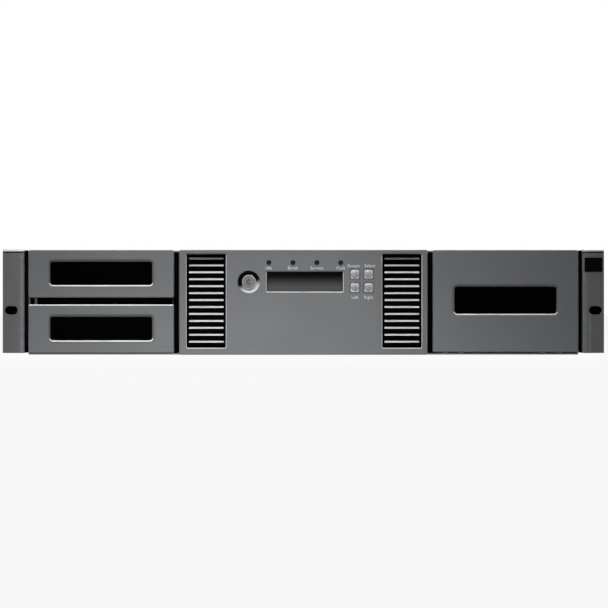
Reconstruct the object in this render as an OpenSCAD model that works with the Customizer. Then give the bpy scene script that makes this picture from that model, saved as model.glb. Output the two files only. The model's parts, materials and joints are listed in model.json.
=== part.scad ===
// Rack-mounted data tape library, 2U: two pull-out magazines, a mail slot, a robot and two drives.
// Frame: +X right, +Y to the rear, +Z up. Origin: centre of the footprint, on the underside.

/* [Whole machine] */
// Depth over everything, front face to the rearmost handle
body_d = 765; // [755:1:780]
// Width over the two rack ears
ear_span = 479; // [478:0.5:482]
// Half the width of the sheet-metal case
case_half_w = 219.5; // [219:0.1:220]
// Top of the case
case_top = 83; // [82.8:0.1:83.2]
// Thickness of the case's sheet steel
sheet = 1.2; // [1:0.1:1.4]

/* [Front panels] */
// Thickness of each moulded front
panel_t = 14; // [13:0.5:15]
// Inner edge of a magazine front, from the centre
panel_in = 102.9; // [102.5:0.1:103.3]
// Outer edge of a magazine front, from the centre
panel_out = 218.9; // [218:0.1:219]
// Top of the magazine fronts
panel_top = 83.4; // [83:0.1:83.5]
// Bottom of the left magazine front
left_panel_bottom = 1.4; // [1.2:0.1:2]
// Top of the left magazine front
left_panel_top = 40; // [39:0.1:41]
// Bottom of the mail slot front
mail_panel_bottom = 45.4; // [44.5:0.1:46]
// Bottom of the right magazine front
right_panel_bottom = 2.1; // [1.5:0.1:2.5]
// Width of a finger pocket
pocket_w = 80.8; // [76:0.2:84]
// Depth of a finger pocket
pocket_d = 24; // [18:1:24]
// Moulded wall thickness
wall = 1.6; // [1.4:0.1:2]

/* [Centre bezel] */
// Half the width of the centre bezel
bezel_half_w = 98.95; // [98.5:0.05:99.2]
// Height of the centre bezel
bezel_h = 83.5; // [83:0.1:83.9]
// Depth of the centre bezel
bezel_d = 16.5; // [16:0.1:16.5]
// Distance from the centre to the middle of a vent
vent_x = 78; // [77:0.1:79]
// Width of a vent opening
vent_w = 30.8; // [29:0.1:31]
// Height of a vent opening
vent_h = 74.3; // [73:0.1:75]
// Number of slats in a vent
slats = 13; // [9:1:13]
// Spacing of the slats
slat_pitch = 5.53; // [5.4:0.01:5.55]
// Sideways shift of the control panel from the centre
control_x = 1.2; // [0:0.1:2]
// Width of the display window
lcd_w = 60.4; // [58:0.2:62]
// Height of the display window
lcd_h = 16.2; // [15:0.2:17]
// Height of the display's centre
lcd_z = 58.3; // [57:0.1:59]
// Spacing of the status lights
led_pitch = 19.07; // [18:0.01:19.5]
// Height of the status lights
led_z = 73.3; // [72:0.1:74]

/* [Magazines] */
// Spacing of the cartridge columns
column_pitch = 108; // [107:0.5:108]
// Spacing of the cartridge rows
row_pitch = 24.1; // [24:0.05:24.1]
// Clear height of one cartridge slot
row_clear = 22.6; // [22.4:0.1:22.7]
// Top of a magazine's floor
floor_top = 8; // [8:0.1:8.1]

/* [Robot] */
// Teeth on the travel pinion
pinion_teeth = 16; // [16:1:16]
// Gear module of the pinion and the rack
gear_module = 1; // [1:0.1:1]
// Half the length of the carriage
carriage_half_d = 86; // [85:0.5:86]
// Length of the picker tray
tray_len = 128; // [126:1:128]
// Width of the picker tray
tray_w = 112; // [110:0.5:112]

/* [Hidden] */
$fn = 48;
eps = 0.01;
columns = 4;
rows = 3;
key_proud = 1.2;
front_y = -body_d / 2 + key_proud;
back_y = body_d / 2;
panel_mid = (panel_in + panel_out) / 2;
panel_back = front_y + panel_t;
bezel_back = front_y + bezel_d;
bulkhead_t = 1.2;
case_front = bezel_back + bulkhead_t;
rear_skin = back_y - 10.5;
case_in = case_half_w - sheet;
cover_under = case_top - sheet;
edge = 0.9;

// Rack ears
ear_in = 221.8;
ear_out = ear_span / 2;
ear_bottom = 1.4;
ear_top = 83.9;
ear_front = front_y + 0.8;
ear_bevel = 1.6;
ear_t = 8;
ear_crown_r = 30;
ear_leg_d = 90;
slot_x = 465.1 / 2;
slot_z = 35.3;
slot_r = 3.35;
slot_len = 10.3;
badge = [14.4, 11.3];
badge_t = 0.4;
badge_at = [230.9, 71.65];

// Controls
power_at = [-43.4, 58];
power_r = 6;
power_well_r = 8.8;
key_x = [41, 51.9];
key_z = [64, 53.4];
key_w = 8;
key_h = 8.4;
key_gap = 0.5;
key_dome_r = 18;
led_r = 1.7;
vent_z = 43.15;
slat_top_z = 76.5;

// Magazines
mag_front = front_y + 16.5;
first_divider = front_y + 50.5;
divider_t = 2;
mag_rear = first_divider + columns * column_pitch + divider_t;
mouth_x = 103.5;
mag_out = 214.6;
mag_wall = 2;
mag_floor_t = 2.5;
shelf_t = row_pitch - row_clear;
mag_ceiling = floor_top + rows * row_pitch - shelf_t;
mag_top = mag_ceiling + mag_wall;
seam = 0.1;
notch_w = 30;
notch_d = 12;
left_pocket_z = [11.9, 30.1];
mail_pocket_z = [55.9, 73.9];
right_pocket_z = [33.1, 54.1];
tongue = [20, 12, 2.5];
tongue_hole = [10, 6];
latch_x = 160;
latch_pivot = [mag_rear + 34, 18];
latch_pin_r = 2;
latch_pin_gap = 0.05;

// Robot, at rest in front of the last column
robot_y = first_divider + divider_t / 2 + (columns - 0.5) * column_pitch;
rod_x = 93;
rod_z = 4.5;
rod_r = 2.5;
run_gap = 0.05;
pinion_at = [70, robot_y - 71];
pinion_z = [1.5, 3.9];
pinion_r = gear_module * pinion_teeth / 2;
rack_addendum = 0.9 * gear_module;
rack_dedendum = 1.26 * gear_module;
post_at = [[91, 79], [-91, -79]];
post_r = 3;
screw_at = [-86, 74];
screw_r = 3;
plate_z = [4.2, 5.4];
bush_top = 7.5;
platform_z = [5.7, 6.9];
hub_r = 15;
gripper_reach = 58.5;

// Drives and rear modules
drive_front = 156;
drive_w = 146;
drive_d = 190;
drive_z = [[3, 41.2], [42.7, 80.9]];
drive_mouth = [107, 24, 40];
sled_half_w = 77;
module_in = 104;
module_out = 214;
psu_front = 215;
psu_z = [3, 40.5];
flange_t = 1.2;
fan_at = [190, 21.75];
fan_r = 17.5;
fan_pin_r = 1.5;
inlet_at = [135, 21.75];
card_z = [9, 10.6];

// ---------- Shared shapes ----------

// Box between two opposite corners
module block(low, high) {
    translate(low) cube(high - low);
}

// Rectangle with round corners, centred
module round_rect(w, h, r) {
    square([w - 2 * r, h], center = true);
    square([w, h - 2 * r], center = true);
    for (sx = [-1, 1], sy = [-1, 1])
        translate([sx * (w / 2 - r), sy * (h / 2 - r)]) circle(r);
}

// Upright plate with round corners: centred on (x, z), front at y, thickness t
module upright(x, z, w, h, r, y, t) {
    translate([x, y + t, z]) rotate([90, 0, 0]) linear_extrude(t) round_rect(w, h, r);
}

// Disc or bore along Y: centred on (x, z), front at y, length t
module disc_y(x, z, r, y, t) {
    translate([x, y + t, z]) rotate([90, 0, 0]) cylinder(r = r, h = t);
}

// Outline given in (y, z), extruded from x0 to x1
module profile_x(x0, x1, points) {
    translate([x0, 0, 0]) rotate([90, 0, 90]) linear_extrude(x1 - x0) polygon(points);
}

// Mitred pyramid stump: w by h at depth t, wider by c all round at the front face y
module stump(x, z, w, h, c, y, t) {
    translate([x, y, z]) intersection() {
        translate([0, 0, -h / 2 - c]) linear_extrude(h + 2 * c)
            polygon([[-w / 2 - c, 0], [w / 2 + c, 0], [w / 2, t], [-w / 2, t]]);
        profile_x(-w / 2 - c, w / 2 + c,
            [[0, -h / 2 - c], [0, h / 2 + c], [t, h / 2], [t, -h / 2]]);
    }
}

// Moulded front: round corners and a bevelled front edge
module moulding(x, z0, w, h, y, t) {
    z = z0 + h / 2;
    intersection() {
        upright(x, z, w, h, 1.5, y, t);
        union() {
            translate([0, 2 * y + edge, 0]) mirror([0, 1, 0])
                stump(x, z, w - 2 * edge, h - 2 * edge, edge, y, edge);
            block([x - w / 2, y + edge, z0], [x + w / 2, y + t, z0 + h]);
        }
    }
}

// ---------- Case ----------

module base_pan() {
    color("#8c9093") difference() {
        block([-case_in, case_front, 0], [case_in, rear_skin, sheet]);
        for (sx = [-1, 1], y = [-250 : 100 : 250])
            translate([sx * 150, y, -eps]) linear_extrude(sheet + 2 * eps) round_rect(40, 6, 3);
    }
}

// side: -1 left, 1 right
module side_panel(side) {
    x = side < 0 ? -case_half_w : case_in;
    color("#8c9093") difference() {
        block([x, case_front, 0], [x + sheet, rear_skin, cover_under]);
        for (y = [150 : 14 : 290])
            translate([x - eps, y, 42]) rotate([90, 0, 90])
                linear_extrude(sheet + 2 * eps) round_rect(5, 34, 2.5);
    }
}

module top_cover() {
    color("#9a9ea1") difference() {
        block([-case_half_w, case_front, cover_under], [case_half_w, rear_skin, case_top]);
        translate([0, -180, cover_under - eps]) cylinder(r = 8, h = sheet + 2 * eps);
        for (x = [-60 : 12 : 60])
            translate([x, 250, cover_under - eps]) linear_extrude(sheet + 2 * eps)
                round_rect(5, 90, 2.5);
    }
}

module rear_panel() {
    skin = rear_skin + sheet;
    color("#8c9093") difference() {
        block([-case_half_w, rear_skin, 0], [case_half_w, skin, case_top]);
        block([-sled_half_w - 1, rear_skin - eps, 2], [sled_half_w + 1, skin + eps, 81]);
        for (side = [0, 1]) mirror([side, 0, 0])
            block([module_in, rear_skin - eps, psu_z[0]], [module_out, skin + eps, psu_z[1]]);
        for (side = [-1, 1], x = [112 : 9 : 206])
            upright(side * x, 63, 4, 26, 1.9, rear_skin - eps, sheet + 2 * eps);
    }
}

module front_bulkhead() {
    color("#8c9093") difference() {
        block([-97, bezel_back, sheet], [97, case_front, cover_under]);
        for (side = [-1, 1])
            upright(side * vent_x, vent_z, vent_w - 3, vent_h - 10, 2,
                bezel_back - eps, bulkhead_t + 2 * eps);
        upright(0, 20, 70, 18, 2, bezel_back - eps, bulkhead_t + 2 * eps);
    }
}

// Pan-head screws: six along each side of the cover, ten on the rear panel's edges
module case_screws() {
    color("#b9bcbf") {
        for (side = [-1, 1], y = [-350 : 138 : 360])
            translate([side * (case_half_w - 7), y, case_top]) cylinder(r1 = 3, r2 = 2.2, h = 0.7);
        for (side = [-1, 1], y = [-200 : 180 : 340], z = [14, 70])
            translate([side * case_half_w, y, z]) rotate([0, side * 90, 0])
                cylinder(r1 = 3, r2 = 2.2, h = 0.7);
        for (side = [-1, 1], x = [96, 216], z = [46, 79])
            translate([side * x, rear_skin + sheet, z]) rotate([-90, 0, 0])
                cylinder(r1 = 2.6, r2 = 2, h = 1);
    }
}

// Bracket whose face curves back to its outer edge, with a rack slot and a leg on the case's side
module rack_ear() {
    color("#6b6e70") difference() {
        union() {
            intersection() {
                translate([0, ear_front, ear_bottom]) linear_extrude(ear_top - ear_bottom)
                    polygon([[ear_in, ear_bevel], [ear_in + ear_bevel, 0], [ear_out, 0],
                        [ear_out, ear_t], [ear_in, ear_t]]);
                translate([ear_in + ear_bevel, ear_front + ear_crown_r, 0])
                    cylinder(r = ear_crown_r, h = ear_top + 1, $fn = 96);
            }
            block([case_half_w, ear_front + ear_t - 3, 8],
                [case_half_w + 2, ear_front + ear_t + ear_leg_d, 76]);
            block([case_half_w, ear_front + ear_t - 3, 8],
                [ear_in + 4, ear_front + ear_t, 76]);
        }
        translate([slot_x, ear_front - 1, slot_z]) rotate([-90, 0, 0])
            linear_extrude(ear_t + 2) round_rect(slot_len, 2 * slot_r, slot_r - eps / 10);
    }
}

// Thin plate that follows the right ear's curve
module badge_plate() {
    color("#141414") intersection() {
        upright(badge_at[0], badge_at[1], badge[0], badge[1], 0.6, front_y, ear_t);
        difference() {
            translate([ear_in + ear_bevel, ear_front + ear_crown_r, 0])
                cylinder(r = ear_crown_r + badge_t, h = ear_top, $fn = 96);
            translate([ear_in + ear_bevel, ear_front + ear_crown_r, -1])
                cylinder(r = ear_crown_r, h = ear_top + 2, $fn = 96);
        }
    }
}

// ---------- Centre bezel and controls ----------

module centre_bezel() {
    inner_w = 2 * (bezel_half_w - 2.2);
    color("#75797c") difference() {
        moulding(0, 0, 2 * bezel_half_w, bezel_h, front_y, bezel_d);
        block([-inner_w / 2, front_y + 3, 2.2], [inner_w / 2, bezel_back + eps, bezel_h - 2.2]);
        for (side = [-1, 1]) {
            stump(side * vent_x, vent_z, vent_w - 3, vent_h - 3, 1.5, front_y - eps, 1.5);
            upright(side * vent_x, vent_z, vent_w - 3, vent_h - 3, 0.8, front_y, 4);
        }
        stump(control_x, lcd_z, lcd_w - 2, lcd_h - 2, 1, front_y - eps, 1);
        upright(control_x, lcd_z, lcd_w - 2, lcd_h - 2, 0.6, front_y, 4);
        for (i = [0 : 3])
            disc_y(control_x + (i - 1.5) * led_pitch, led_z, led_r, front_y - eps, 4);
        translate([power_at[0], front_y - eps, power_at[1]]) rotate([-90, 0, 0])
            cylinder(r1 = power_well_r, r2 = power_r + 0.5, h = 2.2);
        disc_y(power_at[0], power_at[1], power_r + 0.5, front_y, 4);
        for (x = key_x, z = key_z)
            upright(x, z, key_w + 2 * key_gap, key_h + 2 * key_gap, 1.8, front_y - eps, 4);
    }
}

// Insert with thin louvres whose upper faces slope forward
module vent_grille(side) {
    y0 = front_y + 3;
    half_w = vent_w / 2 - 1.2;
    color("#6f7376") {
        difference() {
            upright(side * vent_x, vent_z, vent_w + 2, vent_h + 2, 0.8, y0, 3);
            upright(side * vent_x, vent_z, vent_w - 3, vent_h - 3, 0.8, y0 - eps, 4);
        }
        for (i = [0 : slats - 1]) {
            z = slat_top_z - i * slat_pitch;
            profile_x(side * vent_x - half_w, side * vent_x + half_w,
                [[y0, z - 0.8], [y0, z - 0.4], [y0 + 3, z + 0.8], [y0 + 3, z + 0.2]]);
        }
    }
}

module lcd_window() {
    color("#2d302e") upright(control_x, lcd_z, lcd_w + 3, lcd_h + 3, 0.8, front_y + 3.1, 1.2);
}

module lcd_module() {
    color("#3a3d3b") upright(control_x, lcd_z, lcd_w + 6, lcd_h + 7, 0.8, front_y + 4.6, 3.4);
}

// Light pipes with a flange behind the bezel
module status_leds() {
    color("#30342f") for (i = [0 : 3]) {
        x = control_x + (i - 1.5) * led_pitch;
        disc_y(x, led_z, led_r - 0.1, front_y + 1, 4);
        disc_y(x, led_z, led_r + 0.9, front_y + 3.1, 1);
    }
}

module control_board() {
    color("#1f5a33") difference() {
        block([-58, front_y + 12.6, 40], [60, front_y + 14.2, 80]);
        for (x = [-54, 56], z = [44, 76]) disc_y(x, z, 1.6, front_y + 12, 3);
    }
}

// Round button with a raised rim and a raised power mark
module power_button() {
    mark_y = front_y - 0.1;
    color("#85898c") {
        disc_y(power_at[0], power_at[1], power_r, front_y + 0.9, 9);
        difference() {
            disc_y(power_at[0], power_at[1], power_r, front_y + 0.4, 1);
            disc_y(power_at[0], power_at[1], power_r - 1.3, front_y + 0.3, 0.6 + eps);
        }
        difference() {
            disc_y(power_at[0], power_at[1], 2.5, mark_y, 1.2);
            disc_y(power_at[0], power_at[1], 1.8, mark_y - eps, 1.2 + eps);
            block([power_at[0] - 0.9, mark_y - eps, power_at[1]],
                [power_at[0] + 0.9, front_y + 0.9, power_at[1] + 3]);
        }
        block([power_at[0] - 0.35, mark_y, power_at[1] + 0.2],
            [power_at[0] + 0.35, front_y + 1, power_at[1] + 3.1]);
    }
}

// Key cap with a domed face on a square stem
module key_cap(column, row) {
    x = key_x[column];
    z = key_z[row];
    color("#c9cbce") {
        intersection() {
            upright(x, z, key_w, key_h, 1.6, front_y - key_proud, 6.2);
            translate([x, front_y - key_proud + key_dome_r, z])
                sphere(r = key_dome_r, $fn = 96);
        }
        block([x - 2, front_y + 4.5, z - 2], [x + 2, front_y + 10.4, z + 2]);
    }
}

// ---------- Magazines ----------

// Front with a deep finger pocket: x centre, bottom, top and the pocket's two heights
module pocket_front(x, z0, z1, pocket_z) {
    pocket_h = pocket_z[1] - pocket_z[0];
    pocket_mid = (pocket_z[0] + pocket_z[1]) / 2;
    w = panel_out - panel_in;
    skin = 2.5;
    color("#71757a") difference() {
        union() {
            difference() {
                moulding(x, z0, w, z1 - z0, front_y, panel_t);
                block([x - w / 2 + skin, front_y + skin, z0 + skin],
                    [x + w / 2 - skin, panel_back + eps, z1 - skin]);
            }
            upright(x, pocket_mid, pocket_w + 2 * wall, pocket_h + 2 * wall, 3,
                front_y + 1, pocket_d + wall - 1);
        }
        upright(x, pocket_mid, pocket_w, pocket_h, 2, front_y - eps, pocket_d);
        stump(x, pocket_mid, pocket_w - 1, pocket_h - 1, 1.3, front_y - eps, 1.8);
    }
}

// Floor on two runners, with a latch tongue at the rear
module magazine_base() {
    color("#2b2d2f") difference() {
        union() {
            block([mouth_x, panel_back, floor_top - mag_floor_t], [mag_out, mag_rear, floor_top]);
            for (x = [118, 196])
                block([x, panel_back, 2.8], [x + 5, mag_rear, floor_top - mag_floor_t + eps]);
            block([latch_x - tongue[0] / 2, mag_rear - eps, floor_top - tongue[2]],
                [latch_x + tongue[0] / 2, mag_rear + tongue[1], floor_top]);
        }
        translate([latch_x - tongue_hole[0] / 2, mag_rear + 3, floor_top - tongue[2] - eps])
            cube([tongue_hole[0], tongue_hole[1], tongue[2] + 2 * eps]);
    }
}

// Outer wall, cover and rear wall as three plates
module magazine_shell() {
    low = floor_top + seam;
    color("#3b3e41") {
        difference() {
            block([mag_out - mag_wall, mag_front, low], [mag_out, mag_rear, mag_ceiling - seam]);
            for (i = [0 : columns - 1], z = [20 : row_pitch : 70])
                translate([mag_out - 3, first_divider + divider_t / 2 + (i + 0.5) * column_pitch, z])
                    rotate([90, 0, 90]) linear_extrude(4) round_rect(60, 8, 4 - eps);
        }
        block([mouth_x, mag_front, mag_ceiling], [mag_out, mag_rear, mag_top]);
        block([mouth_x, mag_rear - divider_t, low],
            [mag_out - mag_wall - seam, mag_rear, mag_ceiling - seam]);
    }
}

// Upright plates in front of each column; the first one stays under the mail slot if there is one
module magazine_dividers(mail_slot) {
    color("#34373a") for (i = [0 : columns - 1]) {
        y = first_divider + i * column_pitch;
        top = i == 0 && mail_slot ? mag_ceiling - row_pitch : mag_ceiling - seam;
        block([mouth_x, y, floor_top + seam], [mag_out - mag_wall - seam, y + divider_t, top]);
    }
}

// Two shelves in each column, notched at the mouth for the picker
module magazine_shelves() {
    color("#3f4245") for (i = [0 : columns - 1], row = [1 : rows - 1]) {
        y = first_divider + divider_t + i * column_pitch;
        z = floor_top + row * row_pitch - shelf_t;
        mid = y + (column_pitch - divider_t) / 2;
        difference() {
            block([mouth_x, y + seam, z],
                [mag_out - mag_wall - seam, y + column_pitch - divider_t - seam, z + shelf_t]);
            block([mouth_x - eps, mid - notch_w / 2, z - eps],
                [mouth_x + notch_d, mid + notch_w / 2, z + shelf_t + eps]);
        }
    }
}

// One-cartridge tray behind the mail slot front, open towards the robot
module mail_slot_tray() {
    z = floor_top + 2 * row_pitch + 0.4;
    y0 = front_y + pocket_d + wall;
    y1 = first_divider + column_pitch - 0.4;
    x0 = -mag_out + mag_wall + 0.4;
    color("#515458") {
        block([x0, y0, z], [-mouth_x, y1, z + 1.2]);
        block([x0, y0, z + 1.2 + seam], [x0 + 1.2, y1, mag_ceiling - 0.4]);
        block([x0 + 1.2 + seam, first_divider, z + 1.2 + seam],
            [-mouth_x, first_divider + 1.5, mag_ceiling - 0.4]);
        block([x0 + 1.2 + seam, y1 - 1.5, z + 1.2 + seam], [-mouth_x, y1, mag_ceiling - 0.4]);
    }
}

// Rails screwed to the base pan, one each side of both magazines' runners
module magazine_guides() {
    color("#e3e2dc") for (side = [-1, 1], x = [113.5, 127, 191.5, 205])
        block([side * x - 2, case_front + 2, sheet], [side * x + 2, mag_rear + 10, 4.6]);
}

// Hook that drops through the tongue's hole; at rest it stands clear above it
module magazine_latch() {
    y = latch_pivot[0];
    z = latch_pivot[1];
    hook_y = mag_rear + 5;
    color("#c4a24a") {
        translate([latch_x - 9, y, z]) rotate([0, 90, 0]) cylinder(r = latch_pin_r, h = 18);
        translate([latch_x - 3, y, z]) rotate([0, 90, 0]) cylinder(r = 4.5, h = 6);
        block([latch_x - 3, hook_y - 1.5, z - 3], [latch_x + 3, y, z + 2]);
        block([latch_x - 3, hook_y - 1.5, floor_top + 0.6], [latch_x + 3, hook_y + 1.5, z]);
    }
}

// Solenoid block with two cheeks that carry the latch's pin
module latch_solenoids() {
    y = latch_pivot[0];
    z = latch_pivot[1];
    color("#4b4e52") for (side = [0, 1]) mirror([side, 0, 0]) difference() {
        union() {
            block([latch_x - 11, y - 7, sheet], [latch_x + 11, y + 30, 8]);
            block([latch_x - 9, y + 8, 8 - eps], [latch_x + 9, y + 30, 26]);
            for (x = [latch_x - 8, latch_x + 4])
                block([x, y - 6, 8 - eps], [x + 4, y + 6, z + 5]);
        }
        translate([latch_x - 12, y, z]) rotate([0, 90, 0])
            cylinder(r = latch_pin_r + latch_pin_gap, h = 24);
    }
}

// ---------- Robot ----------

// Two round rails on end blocks
module robot_rails() {
    y0 = case_front;
    y1 = drive_front - 10;
    color("#c0c3c6") for (side = [-1, 1]) {
        translate([side * rod_x, y0, rod_z]) rotate([-90, 0, 0]) cylinder(r = rod_r, h = y1 - y0);
        for (y = [y0, y1 - 1.2])
            block([side * rod_x - 4, y, sheet], [side * rod_x + 4, y + 1.2, rod_z + 3.2]);
    }
}

// Trapezoid teeth along Y on the side that faces the pinion, at its pitch line
module robot_rack() {
    pitch = PI * gear_module;
    pitch_x = pinion_at[0] + pinion_r;
    y_start = pinion_at[1] - 107 * pitch;
    teeth = 115;
    half = pitch / 4 - 0.065;
    tip = half - rack_addendum * tan(20);
    root = half + rack_dedendum * tan(20);
    color("#d8d6cf") translate([0, 0, sheet]) linear_extrude(pinion_z[1] - sheet - 0.1) union() {
        translate([pitch_x + 1.25 * gear_module, y_start - pitch / 2])
            square([3, teeth * pitch]);
        polygon(concat(
            [for (i = [0 : teeth - 1], p = [[rack_dedendum, -root], [-rack_addendum, -tip],
                [-rack_addendum, tip], [rack_dedendum, root]])
                [pitch_x + p[0], y_start + i * pitch + p[1]]],
            [[pitch_x + 2, y_start + (teeth - 1) * pitch + root], [pitch_x + 2, y_start - root]]));
    }
}

// Plate with four bushings that run on the rails
module robot_carriage() {
    color("#a8abae") difference() {
        union() {
            block([-rod_x, robot_y - carriage_half_d, plate_z[0]],
                [rod_x, robot_y + carriage_half_d, plate_z[1]]);
            for (sx = [-1, 1], sy = [-1, 1])
                block([sx * rod_x - 5.5, robot_y + sy * 72 - 12, 1.6],
                    [sx * rod_x + 5.5, robot_y + sy * 72 + 12, bush_top]);
            translate([screw_at[0], robot_y + screw_at[1], plate_z[0]])
                cylinder(r = 6, h = bush_top - plate_z[0]);
        }
        for (sx = [-1, 1]) translate([sx * rod_x, robot_y - 100, rod_z]) rotate([-90, 0, 0])
            cylinder(r = rod_r + run_gap, h = 200);
        translate([pinion_at[0], pinion_at[1], plate_z[0] - eps]) cylinder(r = 2.05, h = 2);
        translate([0, robot_y, plate_z[0] - eps]) cylinder(r = hub_r + 4, h = 2);
        for (sy = [-1, 1]) translate([0, robot_y + sy * 52, plate_z[0] - eps])
            linear_extrude(2) round_rect(90, 36, 6);
    }
}

// Two guide posts on the bushings
module lift_posts() {
    color("#c8cbce") for (p = post_at)
        translate([p[0], robot_y + p[1], bush_top]) cylinder(r = post_r, h = 72.5);
}

module travel_motor() {
    color("#2a2c2e") translate([pinion_at[0], pinion_at[1], plate_z[1]]) {
        difference() {
            union() {
                cylinder(r = 8, h = 20);
                translate([0, 0, 20]) cylinder(r = 3, h = 2);
            }
            translate([0, 0, -eps]) cylinder(r = 2.6, h = 6);
        }
    }
}

// Involute flank point at radius r, as an angle from the tooth's centre line
function roll(r, base) = sqrt(max(0, pow(r / base, 2) - 1));
function involute(r, base) = roll(r, base) * 180 / PI - atan(roll(r, base));

module travel_pinion() {
    m = gear_module;
    base = pinion_r * cos(20);
    half = 90 / pinion_teeth - 0.4 + involute(pinion_r, base);
    tip_r = pinion_r + 0.9 * m;
    root_r = pinion_r - 1.15 * m;
    steps = [for (i = [0 : 4]) base + (tip_r - base) * i / 4];
    color("#e6e4dd") translate([pinion_at[0], pinion_at[1], 0]) {
        translate([0, 0, pinion_z[0]]) linear_extrude(pinion_z[1] - pinion_z[0]) union() {
            circle(r = root_r);
            for (i = [0 : pinion_teeth - 1]) rotate((i + 0.5) * 360 / pinion_teeth)
                polygon(concat([[root_r - 0.5, -0.6]],
                    [for (r = steps) r * [cos(half - involute(r, base)), -sin(half - involute(r, base))]],
                    [for (k = [4 : -1 : 0]) let (r = steps[k])
                        r * [cos(half - involute(r, base)), sin(half - involute(r, base))]],
                    [[root_r - 0.5, 0.6]]));
        }
        translate([0, 0, pinion_z[1] - eps]) cylinder(r = 2, h = 6);
    }
}

module lift_motor() {
    color("#2a2c2e") translate([screw_at[0], robot_y + screw_at[1], bush_top]) difference() {
        cylinder(r = 7, h = 11);
        translate([0, 0, 4]) cylinder(r = screw_r + run_gap, h = 8);
    }
}

// Spindle with a knurled cap
module lift_screw() {
    z = bush_top + 4.3;
    color("#d2d4d6") translate([screw_at[0], robot_y + screw_at[1], z]) {
        cylinder(r = screw_r, h = 68.2);
        translate([0, 0, 67]) cylinder(r = 4.5, h = 1.2, $fn = 12);
    }
}

// Step that rises from the platform's plate at radius web_r to z and runs on to p, t thick
module raised_arm(p, web_r, z, t) {
    reach = norm(p);
    foot = platform_z[0] + 0.6;
    translate([0, robot_y, 0]) rotate(atan2(p[1], p[0])) translate([0, 5, 0]) rotate([90, 0, 0])
        linear_extrude(10)
            polygon([[web_r - 5, foot], [web_r, foot], [web_r, z], [reach, z], [reach, z + t],
                [web_r - 5, z + t]]);
}

// Thin plate with arms to the two posts and a raised nut on the spindle
module lift_platform() {
    nut_z = 20;
    nut_h = 8;
    arm_z = bush_top + 0.3;
    post_web_r = 106;
    nut_web_r = 101;
    screw_angle = atan2(screw_at[1], screw_at[0]);
    color("#b4b7ba") difference() {
        union() {
            translate([0, robot_y, platform_z[0]]) linear_extrude(platform_z[1] - platform_z[0]) {
                circle(r = 52);
                for (p = post_at)
                    rotate(atan2(p[1], p[0])) translate([40, -6]) square([post_web_r - 39, 12]);
                rotate(screw_angle) translate([40, -6]) square([nut_web_r - 39, 12]);
            }
            for (p = post_at) {
                raised_arm(p, post_web_r, arm_z + 0.5, 2);
                translate([p[0], robot_y + p[1], arm_z]) cylinder(r = 7, h = 10);
            }
            raised_arm(screw_at, nut_web_r, nut_z + 0.5, nut_h - 1.5);
            translate([screw_at[0], robot_y + screw_at[1], nut_z]) cylinder(r = 7, h = nut_h);
        }
        translate([0, robot_y, platform_z[0] - eps]) cylinder(r = hub_r + run_gap, h = 2);
        for (p = post_at) translate([p[0], robot_y + p[1], arm_z - 1])
            cylinder(r = post_r + run_gap, h = 12);
        translate([screw_at[0], robot_y + screw_at[1], nut_z - 1])
            cylinder(r = screw_r + run_gap, h = nut_h + 2);
    }
}

// Open tray on a round hub: it turns to face either magazine or the drives
module picker_tray() {
    z0 = 7.1;
    color("#dcdad3") {
        translate([0, robot_y, platform_z[0] + 0.2]) cylinder(r = hub_r, h = z0 - platform_z[0]);
        difference() {
            block([-tray_w / 2, robot_y - tray_len / 2, z0],
                [tray_w / 2, robot_y + tray_len / 2, floor_top]);
            for (sx = [-1, 1]) translate([sx * 35, robot_y, z0 - eps])
                linear_extrude(2) round_rect(22, 90, 6);
            block([-5, robot_y - 40, floor_top - 0.6], [5, robot_y + 70, floor_top + eps]);
        }
        for (sx = [-1, 1])
            block([sx * (tray_w / 2 - 0.9) - 0.9, robot_y - tray_len / 2, floor_top - eps],
                [sx * (tray_w / 2 - 0.9) + 0.9, robot_y + tray_len / 2, floor_top + 14]);
        block([-tray_w / 2, robot_y - tray_len / 2, floor_top - eps],
            [tray_w / 2, robot_y - tray_len / 2 + 2, floor_top + 14]);
    }
}

// Slider with two fingers that hook a cartridge's notches
module gripper() {
    z = floor_top + 0.3;
    y = robot_y + gripper_reach;
    color("#3a3c3e") {
        block([-20, y - 18, z], [20, y - 10, z + 9]);
        for (sx = [-1, 1]) {
            block([sx * 17 - 3, y - 11, z + 2], [sx * 17 + 3, y, z + 7]);
            block([sx * 15 - 3, y - 3, z + 2], [sx * 15 + 3, y, z + 7]);
        }
    }
}

module barcode_reader() {
    color("#222426") difference() {
        block([-15, robot_y - tray_len / 2 + 2, floor_top], [15, robot_y - tray_len / 2 + 14, 21]);
        block([-11, robot_y - tray_len / 2 + 12, 12], [11, robot_y - tray_len / 2 + 15, 18]);
    }
}

// ---------- Drives and rear modules ----------

// Folded sled for each drive, with a rear plate and a bail handle
module drive_sleds() {
    y1 = rear_skin + sheet;
    color("#a9acaf") for (z = drive_z) difference() {
        union() {
            block([-sled_half_w, drive_front + 12, z[0] - 0.8], [sled_half_w, y1, z[0]]);
            for (sx = [-1, 1])
                block([sx * (sled_half_w - 0.5) - 0.5, drive_front + 12, z[0] - 0.8],
                    [sx * (sled_half_w - 0.5) + 0.5, y1, z[0] + 24]);
            block([-sled_half_w - 7, y1, z[0] - 1], [sled_half_w + 7, y1 + flange_t, z[1] - 0.2]);
            for (x = [-70, -20]) block([x - 2, y1 + flange_t - eps, z[0] + 8], [x + 2, back_y, z[0] + 14]);
            block([-72, back_y - 4, z[0] + 8], [-18, back_y, z[0] + 14]);
        }
        for (x = [6 : 5 : 36])
            upright(x, z[0] + 27, 2.6, 14, 1.2, y1 - eps, flange_t + 2 * eps);
        block([48, y1 - eps, z[0] + 6], [72, y1 + flange_t + eps, z[0] + 14]);
    }
}

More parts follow.
